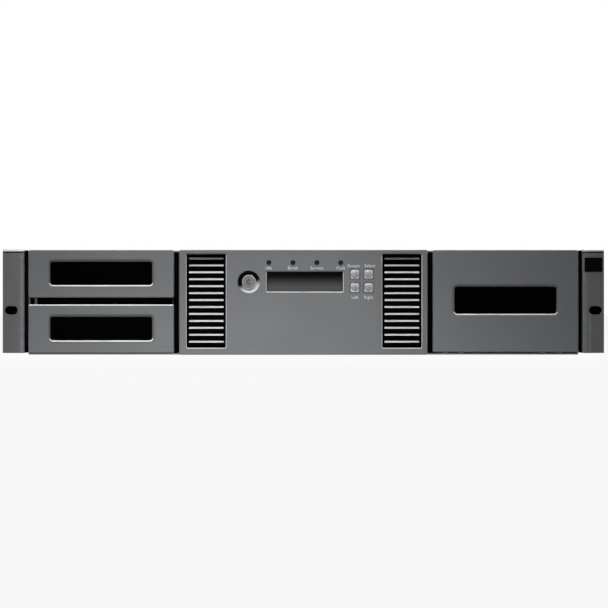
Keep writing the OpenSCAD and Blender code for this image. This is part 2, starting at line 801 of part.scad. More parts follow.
// Half-height drives with a cartridge mouth towards the robot
module tape_drives() {
    color("#3c3f42") for (z = drive_z) {
        mid = (z[0] + z[1]) / 2;
        difference() {
            block([-drive_w / 2, drive_front, z[0] + 0.1],
                [drive_w / 2, drive_front + drive_d, z[1] - 0.4]);
            block([-drive_mouth[0] / 2, drive_front - eps, mid - drive_mouth[1] / 2],
                [drive_mouth[0] / 2, drive_front + drive_mouth[2], mid + drive_mouth[1] / 2]);
            stump(0, mid, drive_mouth[0], drive_mouth[1], 2.5, drive_front - eps, 4);
        }
    }
}

// Host connectors in the sleds' rear plates
module drive_connectors() {
    y1 = rear_skin + sheet;
    color("#c6c8ca") for (z = drive_z) difference() {
        block([48.3, y1 - 14, z[0] + 6.3], [71.7, y1 + 4, z[0] + 13.7]);
        block([49.5, y1 - 8, z[0] + 7.4], [70.5, y1 + 5, z[0] + 12.6]);
    }
}

// Knurled captive screws on the sleds and the power supply
module thumbscrews() {
    y1 = rear_skin + sheet + flange_t;
    heads = concat([for (z = drive_z, x = [-80.5, 80.5]) [x, z[0] + 30]],
        [[module_in + 4, 35], [-module_in - 4, 35]]);
    color("#b9bcbf") for (h = heads) {
        translate([h[0], y1, h[1]]) rotate([-90, 0, 0]) cylinder(r = 2.9, h = 5.5);
        translate([h[0], y1 + 1.5, h[1]]) rotate([-90, 0, 0]) cylinder(r = 3.4, h = 3, $fn = 12);
    }
}

// Power supply box with a fan tunnel and an inlet cut-out in its rear plate
module power_supply() {
    y1 = rear_skin + sheet;
    color("#9b9ea1") difference() {
        union() {
            block([module_in + 1, psu_front, psu_z[0] + 0.5], [module_out - 1, y1, psu_z[1] - 0.5]);
            block([module_in - 3, y1, psu_z[0] - 1], [module_out + 3, y1 + flange_t, psu_z[1] + 1]);
        }
        difference() {
            disc_y(fan_at[0], fan_at[1], fan_r, y1 - 24, 30);
            disc_y(fan_at[0], fan_at[1], fan_pin_r, y1 - 24 - eps, 14);
        }
        upright(inlet_at[0], inlet_at[1], 28.4, 21, 1, y1 - 22, 30);
    }
}

// Appliance inlet: a shroud with three blades
module power_inlet() {
    y1 = rear_skin + sheet + flange_t;
    color("#1c1c1d") {
        difference() {
            union() {
                upright(inlet_at[0], inlet_at[1], 27.8, 20.4, 1, y1 - 22, 22);
                upright(inlet_at[0], inlet_at[1], 31, 24, 2, y1, 2);
            }
            upright(inlet_at[0], inlet_at[1], 24.4, 16.6, 2, y1 - 17, 20);
        }
        for (p = [[-7, -1.5], [0, 2], [7, -1.5]])
            block([inlet_at[0] + p[0] - 1, y1 - 18, inlet_at[1] + p[1] - 2],
                [inlet_at[0] + p[0] + 1, y1 - 6, inlet_at[1] + p[1] + 2]);
    }
}

// Seven-bladed rotor with a hub
module fan_rotor() {
    y1 = rear_skin + sheet;
    blades = 7;
    color("#1f2021") translate([fan_at[0], y1 - 20, fan_at[1]]) rotate([-90, 0, 0]) {
        difference() {
            cylinder(r = 7, h = 14);
            translate([0, 0, -eps]) cylinder(r = fan_pin_r + run_gap, h = 11);
        }
        for (i = [0 : blades - 1]) rotate(i * 360 / blades)
            translate([6, -0.6, 7]) rotate([35, 0, 0]) translate([0, 0, -6]) cube([10.2, 1.2, 12]);
    }
}

// Circuit board on a rear plate
module controller_card() {
    y1 = rear_skin + sheet;
    color("#1f5a33") difference() {
        union() {
            block([-module_out + 2, 240, card_z[0]], [-module_in - 2, y1 + eps, card_z[1]]);
            block([-module_out - 3, y1, psu_z[0] - 1], [-module_in + 3, y1 + flange_t, psu_z[1] + 1]);
        }
        block([-200.3, y1 - 18, card_z[1] - 0.05], [-183.7, y1 + 3, 24.9]);
        block([-170.3, y1 - 18, card_z[1] - 0.05], [-155.7, y1 + 3, 18.5]);
        block([-146.3, y1 - 18, card_z[1] - 0.05], [-121.7, y1 + 3, 22.5]);
    }
}

// Network, USB and serial sockets
module controller_ports() {
    y1 = rear_skin + sheet + flange_t;
    z = card_z[1];
    color("#bfc2c4") {
        difference() {
            block([-200, y1 - 18, z], [-184, y1 + 1, 24.6]);
            block([-198, y1 - 12, z + 2], [-186, y1 + 2, 22.8]);
        }
        difference() {
            block([-170, y1 - 18, z], [-156, y1 + 1, 18.2]);
            block([-169.3, y1 - 12, z + 0.9], [-156.7, y1 + 2, 17.3]);
            }
        difference() {
            block([-146, y1 - 12, z], [-122, y1 + 1, 22.2]);
            block([-144, y1 - 7, z + 1.6], [-124, y1 + 2, 20.6]);
        }
    }
}

base_pan();
side_panel(-1);  // left_side_panel
side_panel(1);  // right_side_panel
top_cover();
rear_panel();
front_bulkhead();
case_screws();
mirror([1, 0, 0]) rack_ear();  // left_rack_ear
rack_ear();  // right_rack_ear
badge_plate();
centre_bezel();
vent_grille(-1);  // left_vent_grille
vent_grille(1);  // right_vent_grille
lcd_window();
lcd_module();
status_leds();
control_board();
power_button();
key_cap(0, 0);  // key_cancel
key_cap(1, 0);  // key_enter
key_cap(0, 1);  // key_previous
key_cap(1, 1);  // key_next
magazine_guides();
pocket_front(-panel_mid, left_panel_bottom, left_panel_top, left_pocket_z);  // left_magazine_front
mirror([1, 0, 0]) magazine_base();  // left_magazine_base
mirror([1, 0, 0]) magazine_shell();  // left_magazine_shell
mirror([1, 0, 0]) magazine_dividers(true);  // left_magazine_dividers
mirror([1, 0, 0]) magazine_shelves();  // left_magazine_shelves
pocket_front(-panel_mid, mail_panel_bottom, panel_top, mail_pocket_z);  // mail_slot_front
mail_slot_tray();
pocket_front(panel_mid, right_panel_bottom, panel_top, right_pocket_z);  // right_magazine_front
magazine_base();  // right_magazine_base
magazine_shell();  // right_magazine_shell
magazine_dividers(false);  // right_magazine_dividers
magazine_shelves();  // right_magazine_shelves
mirror([1, 0, 0]) magazine_latch();  // left_magazine_latch
magazine_latch();  // right_magazine_latch
latch_solenoids();
robot_rails();
robot_rack();
robot_carriage();
lift_posts();
travel_motor();
travel_pinion();
lift_motor();
lift_screw();
lift_platform();
picker_tray();
gripper();
barcode_reader();
drive_sleds();
tape_drives();
drive_connectors();
thumbscrews();
power_supply();
power_inlet();
fan_rotor();
controller_card();
controller_ports();
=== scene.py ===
# %% [markdown]
# # A rack-mounted data tape library
# The machine is two rack units high. A magazine of tape cartridges pulls out on each side of a
# centre bezel with vents, a display, a power button and four keys. Inside, a small robot carries
# cartridges to two drives at the rear.
# The frame brings the solid pieces in at their real places, in metres, with +X to the right,
# +Y to the rear and +Z up. This lesson models the pieces that are seen in more detail, and gives
# every piece its finish. The frame is loaded first.

# %% Load the frame
import json
import math

import bmesh
import bpy
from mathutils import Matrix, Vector

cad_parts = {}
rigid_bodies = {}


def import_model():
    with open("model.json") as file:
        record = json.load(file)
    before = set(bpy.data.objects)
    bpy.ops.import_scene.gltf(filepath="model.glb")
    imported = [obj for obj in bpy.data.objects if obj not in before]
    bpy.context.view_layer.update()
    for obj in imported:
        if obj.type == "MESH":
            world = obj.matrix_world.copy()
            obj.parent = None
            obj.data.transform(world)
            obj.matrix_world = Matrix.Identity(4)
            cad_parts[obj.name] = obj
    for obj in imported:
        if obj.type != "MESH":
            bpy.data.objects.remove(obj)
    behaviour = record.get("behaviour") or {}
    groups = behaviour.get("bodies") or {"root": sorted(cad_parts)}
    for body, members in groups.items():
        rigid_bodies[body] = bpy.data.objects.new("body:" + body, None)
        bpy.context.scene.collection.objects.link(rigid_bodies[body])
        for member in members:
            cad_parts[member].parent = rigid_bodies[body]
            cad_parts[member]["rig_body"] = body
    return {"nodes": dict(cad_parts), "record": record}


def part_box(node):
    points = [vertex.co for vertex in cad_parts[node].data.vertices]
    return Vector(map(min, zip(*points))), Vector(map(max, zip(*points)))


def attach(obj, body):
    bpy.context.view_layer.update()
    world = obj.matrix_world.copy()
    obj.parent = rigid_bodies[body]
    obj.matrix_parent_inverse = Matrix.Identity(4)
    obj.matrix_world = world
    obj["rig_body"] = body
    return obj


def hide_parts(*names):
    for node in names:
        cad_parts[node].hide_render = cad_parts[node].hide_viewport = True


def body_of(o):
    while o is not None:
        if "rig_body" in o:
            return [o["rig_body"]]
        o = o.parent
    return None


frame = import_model()
bpy.context.view_layer.update()
bpy.ops.object.select_all(action="DESELECT")

# %% [markdown]
# ## Tools for modelling by hand
# Every piece starts as a primitive that is added at its size and place. A few small tools keep
# the steps short: one leaves edit mode and clears the selection, one puts the place of a new
# primitive into its mesh, and one enters edit mode with only those faces or edges selected that
# pass a test. The tests look at where a face points or where an edge runs, because a script has
# no mouse to click with.

# %% Adding primitives
MM = 0.001
TURN = {"x": (0, math.pi / 2, 0), "y": (math.pi / 2, 0, 0), "z": (0, 0, 0)}


def mm(*values):
    """Several measures in millimetres, as metres."""
    return tuple(value * MM for value in values)


def object_mode(*chosen):
    """Object mode with only these objects selected, the last of them active."""
    active = bpy.context.view_layer.objects.active
    if active and active.mode == "EDIT":
        bpy.ops.object.mode_set(mode="OBJECT")
    bpy.ops.object.select_all(action="DESELECT")
    for obj in chosen:
        obj.select_set(True)
        bpy.context.view_layer.objects.active = obj


def settle(name):
    """Names the new object and puts its place, turn and size into its mesh."""
    obj = bpy.context.object
    obj.name = obj.data.name = name
    bpy.ops.object.transform_apply(location=True, rotation=True, scale=True)
    return obj


def add_block(name, low, high):
    """A box between two opposite corners."""
    object_mode()
    low, high = Vector(low), Vector(high)
    bpy.ops.mesh.primitive_cube_add(size=1, location=(low + high) / 2, scale=high - low)
    return settle(name)


def centred(x, z, width, height, front, back):
    """The two corners of a box centred on (x, z), from its front to its back along Y."""
    return (x - width / 2, front, z - height / 2), (x + width / 2, back, z + height / 2)


def add_rod(name, centre, radius, length, axis="y", sides=48, end_radius=None):
    """A cylinder along an axis, or a cone from radius at the low end to end_radius."""
    object_mode()
    bpy.ops.mesh.primitive_cone_add(
        vertices=sides,
        radius1=radius,
        radius2=radius if end_radius is None else end_radius,
        depth=length,
        location=centre,
        rotation=TURN[axis],
    )
    return settle(name)


# %% Picking faces and edges
def pick(obj, kind, test):
    """Edit mode with only the faces, edges or vertices selected that pass the test."""
    object_mode(obj)
    bpy.ops.object.mode_set(mode="EDIT")
    bpy.ops.mesh.select_mode(type=kind)
    bpy.ops.mesh.select_all(action="DESELECT")
    mesh = bmesh.from_edit_mesh(obj.data)
    mesh.normal_update()
    parts = {"FACE": mesh.faces, "EDGE": mesh.edges, "VERT": mesh.verts}[kind]
    chosen = [part for part in parts if test(part)]
    for part in chosen:
        part.select_set(True)
    bmesh.update_edit_mesh(obj.data)
    return len(chosen)


def everything(part):
    """Test that all parts of a mesh pass."""
    return True


def towards(*direction):
    """Test for faces that point in this direction."""
    aim = Vector(direction)
    return lambda face: face.normal.dot(aim) > 0.999


faces_front, faces_rear, faces_up = towards(0, -1, 0), towards(0, 1, 0), towards(0, 0, 1)


def along(axis):
    """Test for edges that run along this axis."""
    index = "xyz".index(axis)

    def runs(edge):
        step = edge.verts[1].co - edge.verts[0].co
        return abs(step[index]) > 0.999 * step.length

    return runs


# %% Rounding, splitting and turning
def bevel_edges(obj, test, width, segments=3, profile=0.5, kind="EDGE"):
    """Rounds the edges that pass the test, or the outline of the faces that pass it."""
    if pick(obj, kind, test):
        if kind == "FACE":
            bpy.ops.mesh.region_to_loop()
        bpy.ops.mesh.bevel(offset=width, segments=segments, profile=profile, affect="EDGES")
    object_mode(obj)


def bevel_rim(obj, test, width, segments=3):
    """Rounds the outline of the faces that pass the test."""
    bevel_edges(obj, test, width, segments, kind="FACE")


def split_across(obj, heights):
    """Lays edges round the piece at some heights, so that no opening ends up inside one face."""
    for height in heights:
        pick(obj, "FACE", everything)
        bpy.ops.mesh.bisect(plane_co=(0, 0, height), plane_no=(0, 0, 1))
    object_mode(obj)


def turn_all(obj, angle, axis, centre=(0, 0, 0)):
    """Turns the whole mesh about an axis through a point."""
    pick(obj, "FACE", everything)
    bpy.ops.transform.rotate(value=angle, orient_axis=axis, center_override=centre)
    object_mode(obj)
    return obj


def add_round_block(name, low, high, radius, axis="y", segments=5):
    """A box whose four edges along one axis are rounded."""
    obj = add_block(name, low, high)
    bevel_edges(obj, along(axis), radius, segments)
    return obj


# %% [markdown]
# ## Joining, cutting and finishing
# Openings are cut with Boolean modifiers, as a milling cutter or a mould core would leave them,
# and the modifiers are applied, so that the edges of an opening can be rounded afterwards. The
# last steps on every piece are the same: its shading is smooth except over sharp edges, a
# Weighted Normal modifier keeps the large faces flat between their rounded edges, and the piece
# gets its finish and the body it moves with. A detailed piece also hides the solid it stands for.

# %% Booleans, joining and copies
def combine(obj, tool, operation="DIFFERENCE"):
    """Cuts the tool out of the object, adds it or keeps what both share. The tool is used up."""
    object_mode(obj)
    step = obj.modifiers.new("combine", "BOOLEAN")
    step.operation = operation
    step.object = tool
    step.solver = "MANIFOLD"
    bpy.ops.object.modifier_apply(modifier=step.name)
    bpy.data.objects.remove(tool)
    return obj


def join(name, objects):
    """Several objects as one, under a new name."""
    object_mode(*objects)
    if len(objects) > 1:
        bpy.ops.object.join()
    obj = bpy.context.view_layer.objects.active
    obj.name = obj.data.name = name
    return obj


def copy_at(obj, name, step):
    """A copy with its own mesh, moved by a step."""
    object_mode(obj)
    bpy.ops.object.duplicate()
    bpy.context.object.location = Vector(step)
    return settle(name)


def row_of(obj, name, steps):
    """The object and its moved copies, joined as one."""
    return join(name, [copy_at(obj, name, step) for step in steps] + [obj])


# %% The last steps on a piece
FINISH = {}
SMOOTH_UP_TO = math.radians(32)


def polish(obj):
    """Smooth shading that stays crisp at sharp edges and flat on large faces."""
    object_mode(obj)
    bpy.ops.object.shade_smooth_by_angle(angle=SMOOTH_UP_TO)
    step = obj.modifiers.new("flat faces", "WEIGHTED_NORMAL")
    step.keep_sharp = True
    bpy.ops.object.modifier_apply(modifier=step.name)
    return obj


def dress(obj, body, finish):
    """Gives a piece its finish and the body it rides on."""
    obj.data.materials.clear()
    obj.data.materials.append(FINISH[finish])
    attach(obj, body)
    print(obj.name, len(obj.data.polygons), "faces")
    return obj


def stand_in(obj, body, slot, *nodes, finish=None):
    """The finished piece rides on a body and stands for the plain solids it details."""
    dress(polish(obj), body, finish or slot)
    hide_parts(*nodes)
    return obj


def paint_inside(obj, finish, test):
    """Gives the faces whose centre passes the test one more finish."""
    obj.data.materials.append(FINISH[finish])
    for face in obj.data.polygons:
        if test(face.center):
            face.material_index = len(obj.data.materials) - 1


# %% [markdown]
# ## Effects that finishes share
# Three effects are used by many finishes, so each is built once as a shader node group with
# named inputs. Grain gives flakes, brush marks or the fine texture of a mould, depending on how
# far its noise is stretched. Edge wear lightens the outward corners, where paint and plating
# thin out. Dust greys the faces that look up. A group puts out only colours, values and heights,
# and the shader itself stays in each material. All patterns use Object coordinates, so they stay
# on the piece when it moves.

# %% Placing shader nodes
def add_node(tree, kind, inputs=(), **settings):
    """A shader node whose inputs are given as values or as the sockets that feed them."""
    node = tree.nodes.new("ShaderNode" + kind)
    for key, value in settings.items():
        setattr(node, key, value)
    for key, value in dict(inputs).items():
        if isinstance(value, bpy.types.NodeSocket):
            tree.links.new(value, node.inputs[key])
        else:
            node.inputs[key].default_value = value
    return node


def calc(tree, operation, *values, **settings):
    """What a Math node makes of some values."""
    return add_node(tree, "Math", enumerate(values), operation=operation, **settings).outputs[0]


def object_place(tree):
    """Object coordinates."""
    return add_node(tree, "TexCoord").outputs["Object"]


def noise(tree, place, scale, detail):
    """A noise pattern between zero and one."""
    return add_node(tree, "TexNoise", {"Vector": place, "Scale": scale, "Detail": detail}).outputs[0]


def rescale(tree, value, low, high, to_low=0.0, **settings):
    """Stretches the range between low and high to one between to_low and one."""
    sockets = {"Value": value, "From Min": low, "From Max": high, "To Min": to_low}
    return add_node(tree, "MapRange", sockets, **settings).outputs[0]


def blend(tree, share, first, second):
    """A colour that goes from the first to the second as the share goes from zero to one."""
    sockets = {"Factor": share, "A": first, "B": second}
    return add_node(tree, "Mix", sockets, data_type="RGBA").outputs["Result"]


# %% Building node groups
def new_group(name, inputs, outputs):
    """An empty group, the sockets it is given, and the node that takes its results."""
    tree = bpy.data.node_groups.new(name, "ShaderNodeTree")
    for in_out, sockets in (("INPUT", inputs), ("OUTPUT", outputs)):
        for label, kind in sockets.items():
            tree.interface.new_socket(name=label, in_out=in_out, socket_type="NodeSocket" + kind)
    return tree, tree.nodes.new("NodeGroupInput").outputs, tree.nodes.new("NodeGroupOutput")


def feed(tree, ends, **sockets):
    """Links sockets to the group's outputs."""
    for label, socket in sockets.items():
        tree.links.new(socket, ends.inputs[label])
    return tree


# %% Grain
def build_grain():
    """Fine grain in the colour and the height, and broad patches in the roughness."""
    tree, given, ends = new_group(
        "surface_grain",
        {"Colour": "Color", "Roughness": "Float", "Stretch": "Vector", "Variation": "Float"},
        {"Colour": "Color", "Roughness": "Float", "Height": "Float"},
    )
    place = object_place(tree)
    mapped = add_node(tree, "Mapping", {"Vector": place, "Scale": given["Stretch"]}).outputs[0]
    fine = noise(tree, mapped, 1.0, 2.0)
    swing = calc(tree, "MULTIPLY", calc(tree, "SUBTRACT", fine, 0.5), given["Variation"])
    tone = calc(tree, "ADD", swing, 1.0)
    sockets = {0: given["Colour"], "Scale": tone}
    colour = add_node(tree, "VectorMath", sockets, operation="SCALE").outputs[0]
    patches = calc(tree, "MULTIPLY_ADD", noise(tree, place, 28.0, 3.0), 0.10, -0.05)
    rough = calc(tree, "ADD", given["Roughness"], patches)
    return feed(tree, ends, Colour=colour, Roughness=rough, Height=fine)


# %% Edge wear
WORN_COLOUR = (0.6, 0.6, 0.6, 1.0)


def build_edge_wear():
    """Broken light patches along the outward corners."""
    tree, given, ends = new_group(
        "edge_wear", {"Colour": "Color", "Amount": "Float"}, {"Colour": "Color"}
    )
    corner = rescale(tree, add_node(tree, "NewGeometry").outputs["Pointiness"], 0.52, 0.62)
    broken = calc(tree, "MULTIPLY", corner, noise(tree, object_place(tree), 160.0, 3.0))
    share = calc(tree, "MULTIPLY", broken, given["Amount"])
    return feed(tree, ends, Colour=blend(tree, share, given["Colour"], WORN_COLOUR))


# %% Dust
DUST_COLOUR = (0.42, 0.41, 0.39, 1.0)


def build_dust():
    """Uneven dust on the faces that look up, which also dulls them."""
    tree, given, ends = new_group(
        "light_dust",
        {"Colour": "Color", "Roughness": "Float", "Amount": "Float"},
        {"Colour": "Color", "Roughness": "Float"},
    )
    normal = add_node(tree, "NewGeometry").outputs["Normal"]
    upward = add_node(tree, "SeparateXYZ", {"Vector": normal}).outputs["Z"]
    settled = rescale(tree, noise(tree, object_place(tree), 11.0, 5.0), 0.35, 0.75, 0.2)
    facing = calc(tree, "MULTIPLY", upward, settled)
    share = calc(tree, "MULTIPLY", facing, given["Amount"], use_clamp=True)
    dulled = calc(tree, "MULTIPLY_ADD", share, 0.5, given["Roughness"])
    mixed = blend(tree, share, given["Colour"], DUST_COLOUR)
    return feed(tree, ends, Colour=mixed, Roughness=dulled)


GRAIN, EDGE_WEAR, DUST = build_grain(), build_edge_wear(), build_dust()
print("groups", GRAIN.name, EDGE_WEAR.name, DUST.name)

# %% [markdown]
# ## The finishes
# A tape library is sheet steel, moulded plastic and machined metal. The fronts are mouldings with
# a satin paint, whose fine flakes give a soft, wide highlight; folded covers are powder coated;
# the robot's sheet is brushed; and small plastic parts keep the texture of their mould. One
# function builds them all from the three effects, and each finish gives its own colour, gloss,
# stretch of the grain and amount of wear. Most names are those of the record's slots. A few more
# are for details: a near-white painted highlight for lips and edges that look up, louvres whose
# light paint is a painted highlight, black foam whose black is partly painted shade, ink and gold
# contacts.

# %% One finish
MICRON = 0.001 * MM
COAT_ROUGHNESS = 0.12


def new_finish(name):
    """Lists an empty material under its name, and hands out its node tree."""
    material = FINISH[name] = bpy.data.materials.new(name)
    material.use_nodes = True
    material.node_tree.nodes.clear()
    return material.node_tree


def make_finish(
    name, colour, roughness, metallic, stretch, variation, relief,
    wear=0.0, dust=0.0, coat=0.0, specular=0.5,
):
    """A material with grain, edge wear and dust in front of one Principled shader."""
    tree = new_finish(name)
    sockets = {
        "Colour": (*colour, 1.0),
        "Roughness": roughness,
        "Stretch": stretch,
        "Variation": variation,
    }
    grain = add_node(tree, "Group", sockets, node_tree=GRAIN).outputs
    sockets = {"Colour": grain["Colour"], "Amount": wear}
    worn = add_node(tree, "Group", sockets, node_tree=EDGE_WEAR).outputs
    sockets = {"Colour": worn["Colour"], "Roughness": grain["Roughness"], "Amount": dust}
    dusty = add_node(tree, "Group", sockets, node_tree=DUST).outputs
    sockets = {"Height": grain["Height"], "Strength": 1.0, "Distance": relief * MICRON}
    bump = add_node(tree, "Bump", sockets).outputs["Normal"]
    sockets = {
        "Base Color": dusty["Colour"],
        "Roughness": dusty["Roughness"],
        "Metallic": metallic,
        "Specular IOR Level": specular,
        "Coat Weight": coat,
        "Coat Roughness": COAT_ROUGHNESS,
        "Normal": bump,
    }
    shader = add_node(tree, "BsdfPrincipled", sockets)
    add_node(tree, "OutputMaterial", {"Surface": shader.outputs[0]})


# %% All finishes
FLAKE = (1500, 1500, 1500)
ALONG_X = (25, 1400, 1400)
ALONG_Y = (1400, 25, 1400)
POWDER = (1100, 1100, 1100)
MOULD = (2200, 2200, 2200)
FOAM = (700, 700, 700)

# name, colour, roughness, metallic, stretch, variation, relief in microns, wear, dust
make_finish("front_paint", (0.157, 0.165, 0.174), 0.40, 0.0, FLAKE, 0.14, 6, 0.25, specular=0.3)
make_finish("ear_paint", (0.133, 0.140, 0.148), 0.40, 0.0, FLAKE, 0.14, 6, 0.3, specular=0.3)
# painted highlight: a near-white paint for lips and edges that look up, in place of the light they
# catch
make_finish("painted_highlight", (0.86, 0.87, 0.88), 0.34, 0.0, FLAKE, 0.05, 4)
make_finish("slat_highlight_paint", (0.84, 0.85, 0.86), 0.36, 0.0, FLAKE, 0.08, 4, 0.1)
make_finish("case", (0.20, 0.205, 0.21), 0.48, 0.3, POWDER, 0.10, 40, 0.1, 0.06)
make_finish("bare_steel", (0.55, 0.56, 0.57), 0.36, 0.95, ALONG_Y, 0.18, 4, 0.1, 0.04)
make_finish("screws", (0.42, 0.43, 0.44), 0.34, 1.0, FLAKE, 0.08, 2, 0.1)
# black_plastic is also the painted shade on the walls of openings, in the pockets and in the ears'
# shadow lines
make_finish("black_plastic", (0.003, 0.003, 0.003), 0.8, 0.0, MOULD, 0.1, 15, specular=0.02)
# foam, near black and without sheen: partly painted shade behind gaps and louvres
make_finish("foam_painted_shade", (0.003, 0.003, 0.003), 0.95, 0.0, FOAM, 0.3, 300, specular=0.0)
make_finish("display_module", (0.05, 0.052, 0.05), 0.5, 0.0, MOULD, 0.1, 20)
make_finish("circuit_board", (0.02, 0.11, 0.045), 0.35, 0.0, MOULD, 0.15, 10, coat=0.3)
make_finish("silver_keys", (0.36, 0.37, 0.38), 0.30, 0.15, FLAKE, 0.10, 3, 0.1)
make_finish("button", (0.155, 0.163, 0.17), 0.42, 0.1, FLAKE, 0.18, 4, 0.2)
make_finish("rail_plastic", (0.70, 0.69, 0.65), 0.42, 0.0, MOULD, 0.06, 10)
make_finish("magazine_plastic", (0.035, 0.037, 0.04), 0.5, 0.0, MOULD, 0.2, 30, 0.08, 0.03)
make_finish("magazine_sheet", (0.07, 0.075, 0.08), 0.45, 0.4, POWDER, 0.15, 20, 0.15, 0.04)
make_finish("latch_brass", (0.62, 0.47, 0.22), 0.3, 1.0, ALONG_X, 0.15, 3, 0.1)
make_finish("solenoid", (0.05, 0.05, 0.055), 0.45, 0.0, MOULD, 0.15, 20)
make_finish("ground_steel", (0.66, 0.67, 0.68), 0.16, 1.0, ALONG_Y, 0.05, 1)
make_finish("robot_sheet", (0.55, 0.56, 0.57), 0.34, 0.95, ALONG_Y, 0.15, 3, 0.1)
make_finish("motor", (0.035, 0.035, 0.04), 0.38, 0.3, POWDER, 0.1, 10, 0.2)
make_finish("key_rubber", (0.035, 0.035, 0.04), 0.38, 0.3, POWDER, 0.1, 10, 0.2)
make_finish("tray_plastic", (0.58, 0.57, 0.53), 0.45, 0.0, MOULD, 0.06, 10)
make_finish("gripper_plastic", (0.045, 0.047, 0.05), 0.5, 0.0, MOULD, 0.15, 20)
make_finish("sled_steel", (0.50, 0.51, 0.52), 0.38, 0.95, ALONG_X, 0.18, 4, 0.1)
make_finish("drive_case", (0.06, 0.065, 0.07), 0.45, 0.3, POWDER, 0.15, 20, 0.2)
make_finish("connector_shell", (0.60, 0.61, 0.62), 0.24, 1.0, FLAKE, 0.06, 2)
make_finish("psu_case", (0.48, 0.49, 0.50), 0.36, 0.95, ALONG_X, 0.18, 4, 0.1)
make_finish("fan_plastic", (0.02, 0.02, 0.022), 0.4, 0.0, MOULD, 0.12, 10)
make_finish("light_pipes", (0.008, 0.010, 0.008), 0.5, 0.0, MOULD, 0.05, 1, specular=0.2)
make_finish("legend_ink", (0.80, 0.81, 0.82), 0.5, 0.0, MOULD, 0.1, 0)
make_finish("gold", (0.72, 0.52, 0.20), 0.28, 1.0, FLAKE, 0.05, 0)
print(len(FINISH), "finishes")

# %% [markdown]
# ## Magazine fronts and the mail slot front
# Each front is a painted moulding with a deep finger pocket. The paint rolls softly into the
# pocket. The lip below the pocket looks up into the light, and its rounding carries a painted
# highlight, a near-white paint; deeper in, the rest of the rounding and the pocket carry painted
# shade, a black paint where the shade falls. A rounded box is the start; its back is hollowed by
# an inset and an inward extrusion, a cup for the pocket is joined on, the pocket is cut, and its
# mouth is rounded with a bevel whose profile hugs the corner. The painted highlight and the
# painted shade are then laid on by depth, counted in parts of that rounding. The three fronts
# differ only in height and in where their pocket sits.

# %% Shape of the fronts
PANEL_T = 14 * MM
SKIN = 2.5 * MM
POCKET_W, POCKET_D = mm(80.8, 24)
CUP_WALL = 1.6 * MM
CUP_ROUND, POCKET_ROUND = mm(3, 2)
MOUTH_ROUND, MOUTH_PROFILE = 2.8 * MM, 0.55
MOUTH_MARGIN = 0.5 * MM
RIM_ROUND, CORNER_ROUND = mm(0.9, 1.5)
PAST = 1 * MM  # how far a cutter reaches past the piece it cuts
front_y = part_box("centre_bezel")[0].y
print("the fronts stand at y =", front_y)


def add_moulding(name, low, high, wall, skin):
    """A moulded shell: round corners, a rounded front rim and a hollow back."""
    obj = add_round_block(name, low, high, CORNER_ROUND, segments=4)
    bevel_rim(obj, faces_front, RIM_ROUND)
    pick(obj, "FACE", faces_rear)
    bpy.ops.mesh.inset(thickness=wall)
    depth = high[1] - low[1] - skin
    bpy.ops.mesh.extrude_region_move(TRANSFORM_OT_translate={"value": (0, -depth, 0)})
    object_mode(obj)
    return obj


def near(place, low, high, margin):
    """Whether a place is within (x, z) bounds and a margin round them."""
    return (
        low[0] - margin < place.x < high[0] + margin
        and low[1] - margin < place.z < high[1] + margin
    )


def opening_edges(y, low, high, margin):
    """Test for the edges where an opening within (x, z) bounds meets a flat front at y."""

    def at_mouth(edge):
        flat = [face.normal.y < -0.999 for face in edge.link_faces]
        inside = all(
            abs(v.co.y - y) < 0.01 * MM and near(v.co, low, high, margin) for v in edge.verts
        )
        return inside and flat.count(True) == 1

    return at_mouth


# %% Three pocket fronts
# depths, in parts of MOUTH_ROUND, at which the painted highlight on the lower lip, the painted shade
# below and the painted shade elsewhere begin
LIP_HIGHLIGHT_FROM, LOWER_SHADE_FROM, SHADE_FROM = 0.1, 0.32, 0.8  # depths, in parts of MOUTH_ROUND


def pocket_front(name, body, pocket_low, pocket_high):
    """A front whose finger pocket lies between two heights."""
    low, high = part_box(name)
    obj = add_moulding(name + "_moulding", low, (high.x, low.y + PANEL_T, high.z), SKIN, SKIN)
    middle = (low.x + high.x) / 2
    x0, x1 = middle - POCKET_W / 2, middle + POCKET_W / 2
    cup = add_round_block(
        "cup",
        (x0 - CUP_WALL, low.y + SKIN / 2, pocket_low - CUP_WALL),
        (x1 + CUP_WALL, low.y + POCKET_D + CUP_WALL, pocket_high + CUP_WALL),
        CUP_ROUND,
    )
    combine(obj, cup, "UNION")
    split_across(obj, [(pocket_low + pocket_high) / 2])
    pocket = (x0, low.y - PAST, pocket_low), (x1, low.y + POCKET_D, pocket_high)
    combine(obj, add_round_block("core", *pocket, POCKET_ROUND))
    bounds = (x0, pocket_low), (x1, pocket_high)
    mouth = opening_edges(low.y, *bounds, MOUTH_MARGIN)
    bevel_edges(obj, mouth, MOUTH_ROUND, 9, MOUTH_PROFILE)
    stand_in(obj, body, "front_paint", name)

    def inside(c, lower, other):
        """Within the pocket and deeper than one share of its rounding below, another elsewhere."""
        share = lower if c.z < pocket_low + MM else other
        return near(c, *bounds, MOUTH_ROUND + 0.1 * MM) and c.y > low.y + share * MOUTH_ROUND

    def top_rim_highlight(c):
        return high.z - 0.8 * RIM_ROUND < c.z < high.z - MM / 100

    # painted highlight: the lower lip's rounding is near white where it catches the light
    paint_inside(obj, "painted_highlight", lambda c: inside(c, LIP_HIGHLIGHT_FROM, math.inf))
    # painted shade: the deeper rounding and the pocket are black where the shade falls
    paint_inside(obj, "black_plastic", lambda c: inside(c, LOWER_SHADE_FROM, SHADE_FROM))
    # painted highlight: a near-white line along the top rim of the lower left front
    if name == "left_magazine_front":
        paint_inside(obj, "painted_highlight", top_rim_highlight)


